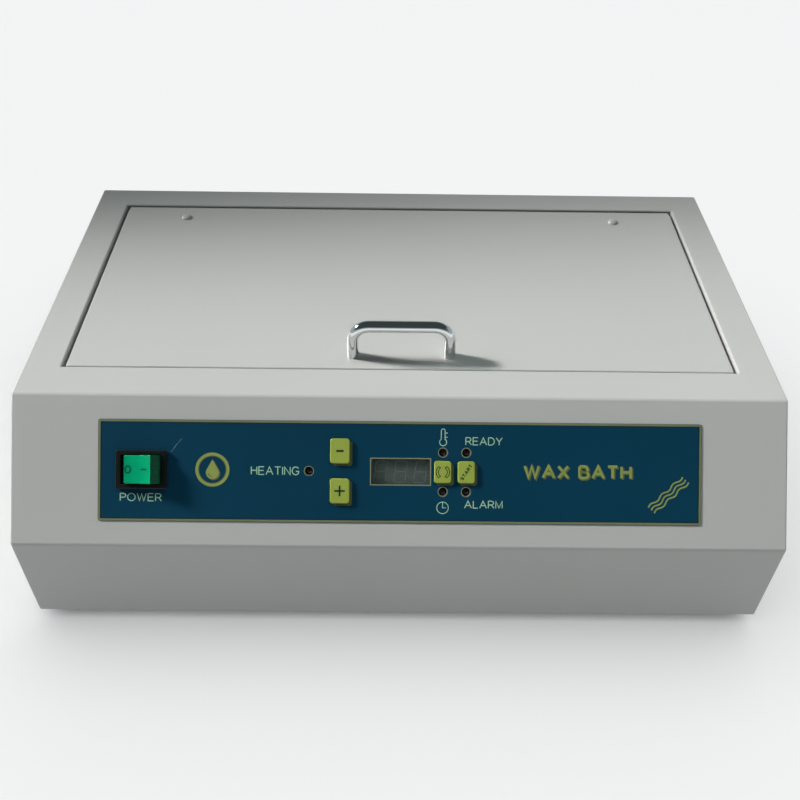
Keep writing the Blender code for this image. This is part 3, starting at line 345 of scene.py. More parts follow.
def stroke_shape(lines, width, height):
    """Flat strokes along lines of (x, y) points. A line that ends where it starts is closed."""
    bm = bmesh.new()
    for line in lines:
        closed = (Vector(line[0]) - Vector(line[-1])).length < 1e-9
        points = [Vector(p) for p in (line[:-1] if closed else line)]
        edges = []
        for i, point in enumerate(points):
            steps = []
            if i or closed:
                steps.append((point - points[i - 1]).normalized())
            if i < len(points) - 1 or closed:
                steps.append((points[(i + 1) % len(points)] - point).normalized())
            along = (steps[0] + steps[-1]).normalized()
            across = Vector((-along.y, along.x)) * width / 2 / max(along.dot(steps[0]), 0.5)
            edges.append([bm.verts.new((*(point + across * side), height)) for side in (1, -1)])
        pairs = list(zip(edges, edges[1:])) + ([(edges[-1], edges[0])] if closed else [])
        for (a, b), (c, d) in pairs:
            bm.faces.new((a, b, d, c))
    return mesh_from(bm)


def merged(meshes):
    bm = bmesh.new()
    for mesh in meshes:
        bm.from_mesh(mesh)
    return mesh_from(bm)


def lathe_shape(profile, steps=48):
    """A solid of revolution about Z from (radius, height) points."""
    bm = bmesh.new()
    points = [bm.verts.new((radius, 0, height)) for radius, height in profile]
    edges = [bm.edges.new(pair) for pair in zip(points, points[1:])]
    bmesh.ops.spin(
        bm, geom=points + edges, axis=(0, 0, 1), cent=(0, 0, 0), angle=2 * math.pi, steps=steps,
        use_duplicate=False
    )
    bmesh.ops.remove_doubles(bm, verts=bm.verts, dist=0.0000005)
    bmesh.ops.recalc_face_normals(bm, faces=bm.faces)
    return mesh_from(bm)


def tube_shape(points, radius, resolution=8):
    curve = bpy.data.curves.new("shape", "CURVE")
    curve.dimensions = "3D"
    curve.bevel_depth = radius
    curve.bevel_resolution = resolution
    curve.use_fill_caps = True
    spline = curve.splines.new("POLY")
    spline.points.add(len(points) - 1)
    for point, place in zip(spline.points, points):
        point.co = (*place, 1)
    return flatten(link("shape", curve))


# ---------------------------------------------------------------- materials


NOISE_COLOUR, NOISE_GLOSS = (0.25, 0.75), (0.3, 0.7)  # the noise values that are spread over the range
GLOSS_FINENESS = 3  # against the mottle
GRAIN_STRENGTH = 0.5


def make_material(name, colour, roughness, metallic=0.0, **sockets):
    material = bpy.data.materials.new(name)
    material.use_nodes = True
    shader = material.node_tree.nodes["Principled BSDF"]
    shader.inputs["Base Color"].default_value = (*colour, 1)
    shader.inputs["Roughness"].default_value = roughness
    shader.inputs["Metallic"].default_value = metallic
    for socket, value in sockets.items():
        shader.inputs[socket.replace("_", " ")].default_value = value
    return material


def add_noise(material, scale, stretch=(1, 1, 1), detail=4.0):
    """A noise texture in the object's own space. Returns its value socket."""
    nodes, links = material.node_tree.nodes, material.node_tree.links
    coords = nodes.new("ShaderNodeTexCoord")
    mapping = nodes.new("ShaderNodeMapping")
    mapping.inputs["Scale"].default_value = stretch
    noise = nodes.new("ShaderNodeTexNoise")
    noise.inputs["Scale"].default_value = scale
    noise.inputs["Detail"].default_value = detail
    links.new(coords.outputs["Object"], mapping.inputs["Vector"])
    links.new(mapping.outputs["Vector"], noise.inputs["Vector"])
    return noise.outputs["Fac"]


def add_ramp(nodes, low, low_colour, high, high_colour):
    ramp = nodes.new("ShaderNodeValToRGB")
    first, last = ramp.color_ramp.elements
    first.position, first.color = low, low_colour
    last.position, last.color = high, high_colour
    return ramp


def vary_colour(material, source, dark, light):
    """Runs the base colour from dark to light with a noise value."""
    nodes, links = material.node_tree.nodes, material.node_tree.links
    ramp = add_ramp(nodes, NOISE_COLOUR[0], (*dark, 1), NOISE_COLOUR[1], (*light, 1))
    links.new(source, ramp.inputs["Fac"])
    links.new(ramp.outputs["Color"], nodes["Principled BSDF"].inputs["Base Color"])


def vary_roughness(material, source, low, high):
    nodes, links = material.node_tree.nodes, material.node_tree.links
    spread = nodes.new("ShaderNodeMapRange")
    spread.inputs["From Min"].default_value = NOISE_GLOSS[0]
    spread.inputs["From Max"].default_value = NOISE_GLOSS[1]
    spread.inputs["To Min"].default_value = low
    spread.inputs["To Max"].default_value = high
    links.new(source, spread.inputs["Value"])
    links.new(spread.outputs["Result"], nodes["Principled BSDF"].inputs["Roughness"])


def add_bump(material, source, strength, distance):
    """Adds a layer of bump over those the material already has."""
    nodes, links = material.node_tree.nodes, material.node_tree.links
    normal = nodes["Principled BSDF"].inputs["Normal"]
    bump = nodes.new("ShaderNodeBump")
    bump.inputs["Strength"].default_value = strength
    bump.inputs["Distance"].default_value = distance
    if normal.links:
        links.new(normal.links[0].from_socket, bump.inputs["Normal"])
    links.new(source, bump.inputs["Height"])
    links.new(bump.outputs["Normal"], normal)


def shade(colour, factor):
    return tuple(channel * factor for channel in colour)


def surface(
    name, colour, roughness, metallic=0.0, mottle=0.03, mottle_scale=9.0, grain_scale=700.0,
    grain_depth=0.00002, swing=0.04, stretch=(1, 1, 1), **sockets
):
    """A material with the usual layers: slow changes of tone, uneven gloss and a fine grain."""
    material = make_material(name, colour, roughness, metallic, **sockets)
    tone = add_noise(material, mottle_scale, stretch)
    vary_colour(material, tone, shade(colour, 1 - mottle), shade(colour, 1 + mottle))
    gloss = add_noise(material, mottle_scale * GLOSS_FINENESS, stretch)
    vary_roughness(material, gloss, roughness - swing, roughness + swing)
    add_bump(material, add_noise(material, grain_scale, stretch, 2), GRAIN_STRENGTH, grain_depth)
    return material


PAINT = surface(
    "powder_coat", (0.416, 0.414, 0.405), 0.33, mottle=0.015, grain_scale=900, grain_depth=0.00003
)
add_bump(PAINT, add_noise(PAINT, 5, detail=1), 0.25, 0.0006)  # the sheet isn't quite flat
STEEL = surface(
    "brushed_stainless", (0.62, 0.63, 0.64), 0.3, 1.0, mottle=0.05, mottle_scale=30, grain_scale=900,
    grain_depth=0.00001, stretch=(1, 12, 12)
)
ZINC = surface(
    "zinc_plate", (0.52, 0.54, 0.56), 0.38, 1.0, mottle=0.12, mottle_scale=60, grain_scale=500,
    grain_depth=0.00001, swing=0.08
)
CHROME = surface(
    "chrome_plate", (0.78, 0.79, 0.8), 0.05, 1.0, mottle=0.01, mottle_scale=40, grain_scale=300,
    grain_depth=0.000002, swing=0.015
)
DARK_STEEL = surface(
    "core_laminations", (0.16, 0.16, 0.17), 0.55, 0.7, mottle=0.15, mottle_scale=60, grain_scale=900,
    grain_depth=0.00003, swing=0.1, stretch=(1, 1, 8)
)
BRASS = surface(
    "nickel_brass", (0.66, 0.62, 0.48), 0.28, 1.0, mottle=0.05, mottle_scale=60, grain_scale=600,
    grain_depth=0.00001, swing=0.05
)
BLACK = surface(
    "black_nylon", (0.006, 0.0075, 0.007), 0.33, mottle=0.1, mottle_scale=60, grain_scale=1600,
    swing=0.06, Specular_IOR_Level=0.3
)
GREEN = surface(
    "green_lens", (0.0, 0.325, 0.145), 0.2, mottle=0.12, mottle_scale=120, grain_scale=300,
    grain_depth=0.00001, swing=0.03, Transmission_Weight=0.2, Specular_IOR_Level=0.25
)
# A darker copy of the lens green for the rocker's end facets: painted shade for the light that the
# lens turns away inside it
GREEN_PAINTED_SHADE = surface(
    "green_lens_painted_shade", (0.002, 0.065, 0.03), 0.25, mottle=0.1, mottle_scale=120, grain_scale=300,
    grain_depth=0.00001, swing=0.03, Specular_IOR_Level=0.2
)
LABEL_BLUE = surface(
    "label_blue", (0.0026, 0.036, 0.069), 0.4, mottle=0.08, mottle_scale=7, grain_scale=2200,
    grain_depth=0.000012, Specular_IOR_Level=0.12
)
PRINT_OLIVE = surface("print_olive", (0.155, 0.165, 0.09), 0.4, mottle=0.06, mottle_scale=60)
PRINT_FRAME = surface("print_beige", (0.185, 0.19, 0.118), 0.4, mottle=0.06, mottle_scale=60)
PRINT_LIME = surface("print_lime", (0.235, 0.285, 0.07), 0.4, mottle=0.05, mottle_scale=60)
PRINT_PALE = surface("print_pale_green", (0.3, 0.5, 0.34), 0.4, mottle=0.05, mottle_scale=60)
PRINT_SHADOW = surface("print_shadow", (0.09, 0.1, 0.03), 0.4, mottle=0.06, mottle_scale=60)
PRINT_DARK = surface(
    "print_dark", (0.003, 0.018, 0.018), 0.42, mottle=0.08, mottle_scale=60, Specular_IOR_Level=0.15
)
SCRATCH = surface("scratched_film", (0.3, 0.42, 0.44), 0.3, mottle=0.4, mottle_scale=300)
ROCKER_MARK = surface(
    "rocker_mark", (0.0, 0.06, 0.035), 0.3, mottle=0.05, mottle_scale=60, Specular_IOR_Level=0.2
)
KEY_LIME = surface(
    "key_lime", (0.272, 0.335, 0.055), 0.38, mottle=0.04, mottle_scale=60, grain_scale=1800
)
GLASS = surface(
    "display_glass", (0.1, 0.13, 0.12), 0.08, mottle=0.04, mottle_scale=40, grain_depth=0.000002,
    swing=0.02, Alpha=0.12
)
DISPLAY = surface(
    "display_face", (0.062, 0.082, 0.073), 0.5, mottle=0.06, mottle_scale=60, grain_scale=2500
)
SEGMENT = surface("display_segment", (0.125, 0.15, 0.135), 0.4, mottle=0.05, mottle_scale=90)
LAMP = surface(
    "lamp_lens", (0.012, 0.005, 0.004), 0.18, mottle=0.2, mottle_scale=200, grain_depth=0.000004,
    Coat_Weight=0.2
)
BOARD = surface(
    "solder_mask", (0.012, 0.13, 0.045), 0.4, mottle=0.15, mottle_scale=90, grain_scale=1500
)
RUBBER = surface(
    "black_rubber", (0.018, 0.018, 0.018), 0.75, mottle=0.15, mottle_scale=90, grain_scale=1500
)
SILICONE = surface(
    "silicone_rubber", (0.4, 0.075, 0.035), 0.55, mottle=0.06, mottle_scale=40, grain_scale=1200
)
WOOL = surface(
    "mineral_wool", (0.55, 0.5, 0.34), 0.95, mottle=0.25, mottle_scale=90, grain_scale=450,
    grain_depth=0.0006
)

CAD_MATERIALS = {
    "painted_steel": PAINT,
    "zinc_plated_steel": ZINC,
    "stainless_steel": STEEL,
    "laminated_steel": DARK_STEEL,
    "chrome": CHROME,
    "nickel_brass": BRASS,
    "black_plastic": BLACK,
    "green_lens": GREEN,
    "label_blue": LABEL_BLUE,
    "key_lime": KEY_LIME,
    "smoked_window": GLASS,
    "lamp_lens": LAMP,
    "circuit_board": BOARD,
    "black_rubber": RUBBER,
    "silicone": SILICONE,
    "mineral_wool": WOOL,
}
MICRO_BEVEL = {
    "base_plate", "rear_panel", "mains_inlet", "fuse_drawer", "tank_grille", "lid_liner", "lid_seal",
    "hinge_leaf_left", "hinge_leaf_right", "hinge_base_left", "hinge_base_right", "tank_rail_left",
    "tank_rail_right", "inlet_pin_live", "inlet_pin_neutral", "inlet_pin_earth"
}


def dress_cad_nodes():
    """Gives each CAD node its material, and the ones with hard edges in view a fine edge rounding."""
    slots = {s["node"]: s["material_slot"] for s in frame["record"]["subparts"]}
    for name, node in frame["nodes"].items():
        for material_slot in node.material_slots:
            material_slot.material = CAD_MATERIALS[slots[name]]
        if name in MICRO_BEVEL:
            weld = node.modifiers.new("Weld", "WELD")
            weld.merge_threshold = 0.00001
            bevel = node.modifiers.new("Edge rounding", "BEVEL")
            bevel.width = EDGE_ROUNDING
            bevel.segments = 2
            bevel.limit_method = "ANGLE"
            bevel.angle_limit = math.radians(40)
            bevel.harden_normals = True


# ---------------------------------------------------------------- casing and lid


def face_towards(bm, direction):
    direction = Vector(direction)
    return max(bm.faces, key=lambda face: face.normal.dot(direction))


def make_casing():
    outline = [
        (Y_BACK, CASE_BOTTOM),
        (Y_BACK, Z_TOP),
        (Y_FOLD, Z_TOP),
        (Y_FRONT, Z_TOP - PANEL_DROP),
        (Y_FRONT, CASE_BOTTOM),
    ]
    bm = bmesh.new()
    face = bm.faces.new([bm.verts.new((-HALF_WIDTH, y, z)) for y, z in outline])
    extruded = bmesh.ops.extrude_face_region(bm, geom=[face])["geom"]
    moved = [v for v in extruded if isinstance(v, bmesh.types.BMVert)]
    bmesh.ops.translate(bm, verts=moved, vec=(2 * HALF_WIDTH, 0, 0))
    bmesh.ops.recalc_face_normals(bm, faces=bm.faces)
    top, bottom = face_towards(bm, (0, 0, 1)), face_towards(bm, (0, 0, -1))
    bmesh.ops.delete(bm, geom=[face_towards(bm, (0, 1, 0))], context="FACES")
    bmesh.ops.inset_region(bm, faces=[bottom], thickness=BOTTOM_FLANGE, use_boundary=True)
    bmesh.ops.delete(bm, geom=[bottom], context="FACES")
    bmesh.ops.inset_region(bm, faces=[top], thickness=HALF_WIDTH - OPENING_HALF, use_boundary=True)
    for vert in top.verts:
        vert.co.x = math.copysign(OPENING_HALF, vert.co.x)
        vert.co.y = OPENING_FRONT if vert.co.y < (OPENING_FRONT + OPENING_BACK) / 2 else OPENING_BACK
    rim = list(top.edges)
    bmesh.ops.delete(bm, geom=[top], context="FACES_ONLY")
    walls = bmesh.ops.extrude_edge_only(bm, edges=rim)["geom"]
    lower = [v for v in walls if isinstance(v, bmesh.types.BMVert)]
    bmesh.ops.translate(bm, verts=lower, vec=(0, 0, -OPENING_WALL))
    shell = link("shape", mesh_from(bm))
    add_bevel(shell, FOLD_RADIUS, FOLD_STEPS)
    add_solidify(shell, SHEET)
    cuts = [(SWITCH_X, CONTROLS_S, *SWITCH_CUT), (0, CONTROLS_S, *WINDOW_CUT)]
    cuts += [(x, s, width + 2 * GAP, height + 2 * GAP) for x, s, width, height in KEYS.values()]
    holes = []
    for x, s, width, height in cuts:
        size = Vector((width / 2, height / 2, PANEL_CUT))
        holes.append(placed(box_shape(-size, size), on_panel(x, s)))
    for x, s in LEDS.values():
        holes.append(placed(plate_shape([circle(LED_HOLE)], -PANEL_CUT, PANEL_CUT), on_panel(x, s)))
    casing = cut_away(flatten(shell), holes)
    add_piece("casing_shell", casing, PAINT, "bath", ["casing"])


def make_lid():
    """The cover with its skirt, which is cut back at the hinge end of each side."""
    bm = bmesh.new()
    middle = Matrix.Translation((lid_low + lid_high) / 2)
    bmesh.ops.create_cube(bm, size=1, matrix=middle @ Matrix.Diagonal((*(lid_high - lid_low), 1)))
    open_faces = [face_towards(bm, (0, 0, -1)), face_towards(bm, (0, 1, 0))]
    bmesh.ops.delete(bm, geom=open_faces, context="FACES")
    sheet = link("shape", mesh_from(bm))
    add_bevel(sheet, FOLD_RADIUS, FOLD_STEPS)
    add_solidify(sheet, SHEET)
    cuts = []
    for side in (-1, 1):
        # In mm from the cover's rear corner: the skirt's end, then the end of the fold over it
        for reach, forward, back, above in ((4, 14, 9, -2), (1.1, 4.6, 5, 5)):
            middle = Vector((side * lid_high.x, lid_high.y, LID_TOP))
            low = Vector((middle.x - reach * MM, middle.y - forward * MM, 0))
            cuts.append(box_shape(low, middle + Vector((reach, back, above)) * MM))
    cover = cut_away(flatten(sheet), cuts)
    add_piece("lid_cover", cover, PAINT, "lid", ["lid_panel"])


def make_handle():
    half, bar = handle_high.x - HANDLE_ROD, handle_high.z - HANDLE_ROD
    bend = arc(HANDLE_BEND, (HANDLE_BEND - half, bar - HANDLE_BEND), 180, 90, 16)
    points = [(x, HANDLE_Y, z) for x, z in [(-half, LID_TOP), *bend]]
    points += [(-x, y, z) for x, y, z in reversed(points)]
    add_piece("handle_bar", tube_shape(points, HANDLE_ROD), CHROME, "lid", ["lid_handle"])


def make_rivets():
    dome = oval((0, 0), *RIVET_HEAD, 0, 90, 10)
    for side in ("left", "right"):
        low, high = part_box("lid_rivet_" + side)
        at = Matrix.Translation(((low.x + high.x) / 2, (low.y + high.y) / 2, LID_TOP))
        head = placed(lathe_shape([(RIVET_SHANK[0], -RIVET_SHANK[1]), *dome]), at)
        add_piece("rivet_head_" + side, head, PAINT, "lid", ["lid_rivet_" + side])


# ---------------------------------------------------------------- tank


def make_tank():
    """The pan with round corners and its flange, as one pressing."""
    depth = FLANGE_TOP - TANK_FLOOR
    half_y = (TANK_BACK - TANK_FRONT) / 2
    bm = bmesh.new()
    bmesh.ops.create_cube(bm, size=1, matrix=Matrix.Diagonal((2 * TANK_HALF_X, 2 * half_y, depth, 1)))
    for vert in bm.verts:
        if vert.co.z < 0:
            vert.co.x -= math.copysign(TANK_TAPER, vert.co.x)
            vert.co.y -= math.copysign(TANK_TAPER, vert.co.y)
    upright = [e for e in bm.edges if abs(e.verts[0].co.z - e.verts[1].co.z) > depth / 2]
    bmesh.ops.bevel(bm, geom=upright, offset=TANK_CORNER, segments=14, profile=0.5, affect="EDGES")
    bm.normal_update()
    floor = face_towards(bm, (0, 0, -1))
    bmesh.ops.bevel(
        bm, geom=list(floor.edges), offset=TANK_FLOOR_RADIUS, segments=8, profile=0.5, affect="EDGES"
    )
    bm.normal_update()
    mouth = face_towards(bm, (0, 0, 1))
    rim = list(mouth.edges)
    bmesh.ops.delete(bm, geom=[mouth], context="FACES_ONLY")
    flange = bmesh.ops.extrude_edge_only(bm, edges=rim)["geom"]
    for vert in flange:
        if isinstance(vert, bmesh.types.BMVert):
            vert.co.x += math.copysign(tank_high.x - TANK_HALF_X, vert.co.x)
            vert.co.y += (tank_high.y - TANK_BACK) if vert.co.y > 0 else (tank_low.y - TANK_FRONT)
    bmesh.ops.recalc_face_normals(bm, faces=bm.faces)
    pan = link("shape", mesh_from(bm))
    lowest = min(pan.data.polygons, key=lambda p: p.center.z)
    if lowest.normal.z < 0:
        pan.data.flip_normals()
    rim_edges = pan.modifiers.new("Mouth", "BEVEL")
    rim_edges.width = TANK_MOUTH_RADIUS
    rim_edges.segments = 5
    rim_edges.limit_method = "ANGLE"
    rim_edges.angle_limit = math.radians(60)
    add_solidify(pan, SHEET)
    at = Matrix.Translation((0, TANK_Y, FLANGE_TOP - depth / 2))
    add_piece("tank_pan", placed(flatten(pan), at), STEEL, "bath", ["tank"])


# ---------------------------------------------------------------- control panel


def on_label(x, s):
    """A place on the label, in the panel's frame."""
    return x, -s


def add_print(name, mesh, material):
    return add_piece(name, placed(mesh, PANEL), material, "bath")


def make_label():
    """The film with its openings, the olive border and the dark line inside it."""
    half_y = LABEL_HEIGHT / 2
    middle = on_label(0, LABEL_S)
    switch = (SWITCH_BODY[0] / 2 + GAP, SWITCH_BODY[1] / 2 + GAP)
    holes = [rectangle(*switch, centre=on_label(SWITCH_X, CONTROLS_S))]
    holes.append(rectangle(WINDOW[0] / 2, WINDOW[1] / 2, BORDER_CORNER, on_label(0, CONTROLS_S)))
    for x, s, width, height in KEYS.values():
        holes.append(rectangle(width / 2 + GAP, height / 2 + GAP, KEY_CORNER, on_label(x, s)))
    holes += [circle(LED_HOLE, on_label(x, s)) for x, s in LEDS.values()]
    outer = rectangle(LABEL_HALF, half_y, LABEL_CORNER, middle)
    film = plate_shape([outer, *holes], LABEL_BOTTOM, LABEL_TOP, LABEL_ROUNDING)
    add_piece("label_film", placed(film, PANEL), LABEL_BLUE, "bath", ["label_overlay"])

    steps = [BORDER_MARGIN, BORDER, BORDER + BORDER_LINE]
    edge, inner, line = [rectangle(LABEL_HALF - d, half_y - d, BORDER_CORNER, middle) for d in steps]
    add_print("print_border", film_shape([edge, inner], PRINT), PRINT_OLIVE)
    add_print("print_border_line", film_shape([inner, line], PRINT), PRINT_DARK)

    corner = Vector((SWITCH_X + BEZEL[0] / 2, -CONTROLS_S + BEZEL[1] / 2))
    scratch = [corner + Vector(step) * MM for step in ((2.2, -1), (5.4, 3.4), (8.8, 7.4))]
    add_print("label_scratch", stroke_shape([scratch], 0.16 * MM, PRINT), SCRATCH)


def make_window_print():
    """The frame round the display window, and the rings round the lamps."""
    centre = on_label(0, CONTROLS_S)
    frames = [rectangle(WINDOW[0] / 2 + d, WINDOW[1] / 2 + d, 0.3 * MM, centre) for d in WINDOW_FRAME]
    add_print("print_window_frame", film_shape(frames, PRINT), PRINT_FRAME)
    rings = []
    for x, s in LEDS.values():
        rings.append(film_shape([circle(LED_HOLE + d, on_label(x, s)) for d in LED_RING], PRINT))
    add_print("print_lamp_rings", merged(rings), PRINT_FRAME)


def bowl(high, low, straight, reach, steps=14):
    """The round side of a letter: from its stem at high, out to reach and back to the stem at low."""
    turn = oval((straight, (high + low) / 2), reach, (high - low) / 2, 90, -90, steps)
    return [(0, high), *turn, (0, low)]


def letter_lines(letter):
    """The width of a plain capital letter one unit high, and the lines that it is drawn with."""
    stem = [(0, 0), (0, 1)]
    p_bowl = bowl(1, 0.46, 0.32, 0.26)
    s_head = oval((0.3, 0.745), 0.27, 0.255, 20, 270, 16)
    s_tail = oval((0.3, 0.245), 0.3, 0.245, 90, -160, 16)
    letters = {
        "A": (0.76, [[(0, 0), (0.38, 1), (0.76, 0)], [(0.14, 0.36), (0.62, 0.36)]]),
        "B": (0.6, [stem, bowl(1, 0.53, 0.32, 0.22), bowl(0.53, 0, 0.34, 0.26)]),
        "D": (0.68, [stem, bowl(1, 0, 0.26, 0.42)]),
        "E": (0.58, [[(0.57, 1), (0, 1), (0, 0), (0.58, 0)], [(0, 0.52), (0.53, 0.52)]]),
        "G": (0.76, [oval((0.39, 0.5), 0.39, 0.5, 38, 322) + [(0.73, 0.44), (0.42, 0.44)]]),
        "H": (0.62, [stem, [(0.62, 0), (0.62, 1)], [(0, 0.53), (0.62, 0.53)]]),
        "I": (0.0, [stem]),
        "L": (0.5, [[(0, 1), (0, 0), (0.5, 0)]]),
        "M": (0.72, [[(0, 0), (0, 1), (0.36, 0.04), (0.72, 1), (0.72, 0)]]),
        "N": (0.62, [[(0, 0), (0, 1), (0.62, 0), (0.62, 1)]]),
        "O": (0.82, [oval((0.41, 0.5), 0.41, 0.5, 90, 450)]),
        "P": (0.58, [stem, p_bowl]),
        "R": (0.62, [stem, p_bowl, [(0.34, 0.46), (0.64, 0)]]),
        "S": (0.6, [s_head + s_tail]),
        "T": (0.64, [[(0, 1), (0.64, 1)], [(0.32, 1), (0.32, 0)]]),
        "W": (0.96, [[(0, 1), (0.25, 0), (0.48, 0.98), (0.71, 0), (0.96, 1)]]),
        "X": (0.66, [[(0, 0), (0.66, 1)], [(0, 1), (0.66, 0)]]),
        "Y": (0.68, [[(0, 1), (0.34, 0.44), (0.68, 1)], [(0.34, 0.44), (0.34, 0)]]),
        " ": (0.2, []),
    }
    return letters[letter]


def word_lines(words, low, high, stroke, gap=WORD_SPACING):
    """The lines of some words, whose strokes then fill the rectangle from low to high."""
    lines, at = [], 0.0
    for letter in words:
        width, drawn = letter_lines(letter)
        lines += [[(at + x, y) for x, y in line] for line in drawn]
        at += width + gap
    scale_x = (high[0] - low[0] - stroke) / (at - gap)
    scale_y = high[1] - low[1] - stroke
    start = low[0] + stroke / 2, low[1] + stroke / 2
    return [[(start[0] + x * scale_x, start[1] + y * scale_y) for x, y in line] for line in lines]


def make_words():
    """The generic words by the controls, and the name of the object with its printed shadow."""
    words = {  # the lowest and highest corner of each word, in mm
        "POWER": ((-176.2, -67.2), (-149.9, -62)),
        "HEATING": ((-94.2, -50), (-63.6, -44.5)),
        "READY": ((40.6, -30.2), (64.1, -25)),
        "ALARM": ((40.2, -70), (64.5, -64.9)),
    }
    for word, (low, high) in words.items():
        low, high = [tuple(v * MM for v in corner) for corner in (low, high)]
        lines = word_lines(word, low, high, WORD_STROKE)
        add_print("print_" + word.lower(), stroke_shape(lines, WORD_STROKE, PRINT), PRINT_PALE)
    low, high = (77.4 * MM, -51 * MM), (146 * MM, -42 * MM)
    lines = word_lines("WAX BATH", low, high, TITLE_STROKE, TITLE_SPACING)
    title = stroke_shape(lines, TITLE_STROKE, PRINT_OVER)
    shadow = stroke_shape(lines, TITLE_STROKE, PRINT)
    shadow = placed(shadow, Matrix.Translation((*TITLE_SHADOW, 0)))
    add_print("print_title", title, PRINT_LIME)
    add_print("print_title_shadow", shadow, PRINT_SHADOW)


def wave(start, end, height, count, steps=12):
    """Points of a wavy line from start to end."""
    start, end = Vector(start), Vector(end)
    along = end - start
    across = Vector((-along.y, along.x)).normalized() * height
    total = count * steps
    swings = [across * math.sin(2 * math.pi * i / steps) for i in range(total + 1)]
    return [tuple(start + along * i / total + swing) for i, swing in enumerate(swings)]


def make_drop_disc():
    """A ring with a drop of wax in it, each with its printed shadow."""
    centre = Vector(on_label(-118.3 * MM, 46.9 * MM))
    outer, inner, shaded = [circle(r * MM, centre, 64) for r in (10.7, 8.9, 8.3)]
    belly, radius = centre - Vector((0, 1.9 * MM)), 4.1 * MM
    tip = centre + Vector((0, 6.4 * MM))
    rise = math.degrees(math.asin(radius / (tip.y - belly.y)))
    drop = [tuple(tip), *arc(radius, belly, 180 - rise, 360 + rise, 28)]
    add_print("print_drop_ring", film_shape([outer, inner], PRINT), PRINT_LIME)
    add_print("print_drop", film_shape([drop], PRINT_OVER), PRINT_LIME)
    shadow = placed(film_shape([drop], PRINT), Matrix.Translation((0.9 * MM, -0.7 * MM, 0)))
    shadows = merged([film_shape([inner, shaded], PRINT), shadow])
    add_print("print_drop_shadow", shadows, PRINT_SHADOW)
    glint = stroke_shape([arc(2.5 * MM, belly, 190, 262, 10)], 0.55 * MM, PRINT_TOP)
    add_print("print_drop_glint", glint, PRINT_SHADOW)


def make_pictograms():
    """A thermometer, a clock and three waves of warm air."""
    x = LEDS["led_temperature"][0]
    bulb, bulb_radius, stem = (x, -28.4 * MM), 2.2 * MM, 1.2 * MM
    lean = math.degrees(math.asin(stem / bulb_radius))
    outline = arc(bulb_radius, bulb, 90 + lean, 450 - lean, 26)
    outline += arc(stem, (x, -21.2 * MM), 0, 180, 10)
    ticks = [[(x + 1.5 * MM, -s * MM), (x + 2.9 * MM, -s * MM)] for s in (22.6, 25.2)]
    thermometer = stroke_shape([outline + outline[:1], *ticks], 0.55 * MM, PRINT)
    add_print("print_thermometer", thermometer, PRINT_PALE)

    clock = (x, -69.7 * MM)
    dial = circle(3.65 * MM, clock, 48)
    hands = [(x, clock[1] + 3.4 * MM), clock, (x + 2.2 * MM, clock[1])]
    add_print("print_clock", stroke_shape([dial + dial[:1], hands], 0.5 * MM, PRINT), PRINT_PALE)

    first, length, spacing = Vector((158.5, -70.2)), Vector((21.5, 19.5)), Vector((-1.9, 1.7))
    waves = []
    for step in (-1, 0, 1):
        start = (first + spacing * step) * MM
        waves.append(wave(start, start + length * MM, 0.75 * MM, 3))
    add_print("print_waves", stroke_shape(waves, 0.9 * MM, PRINT), PRINT_LIME)


def rocker_top(x):
    """Height and slope of the rocker's hollow top at x from its middle."""
    rise = ROCKER_SHOULDER[1] - ROCKER_WAIST
    part = abs(x) / ROCKER_SHOULDER[0]
    height = ROCKER_WAIST + rise * part**ROCKER_CURVE
    slope = rise * ROCKER_CURVE * part ** (ROCKER_CURVE - 1) / ROCKER_SHOULDER[0]
    return height, math.copysign(slope, x)


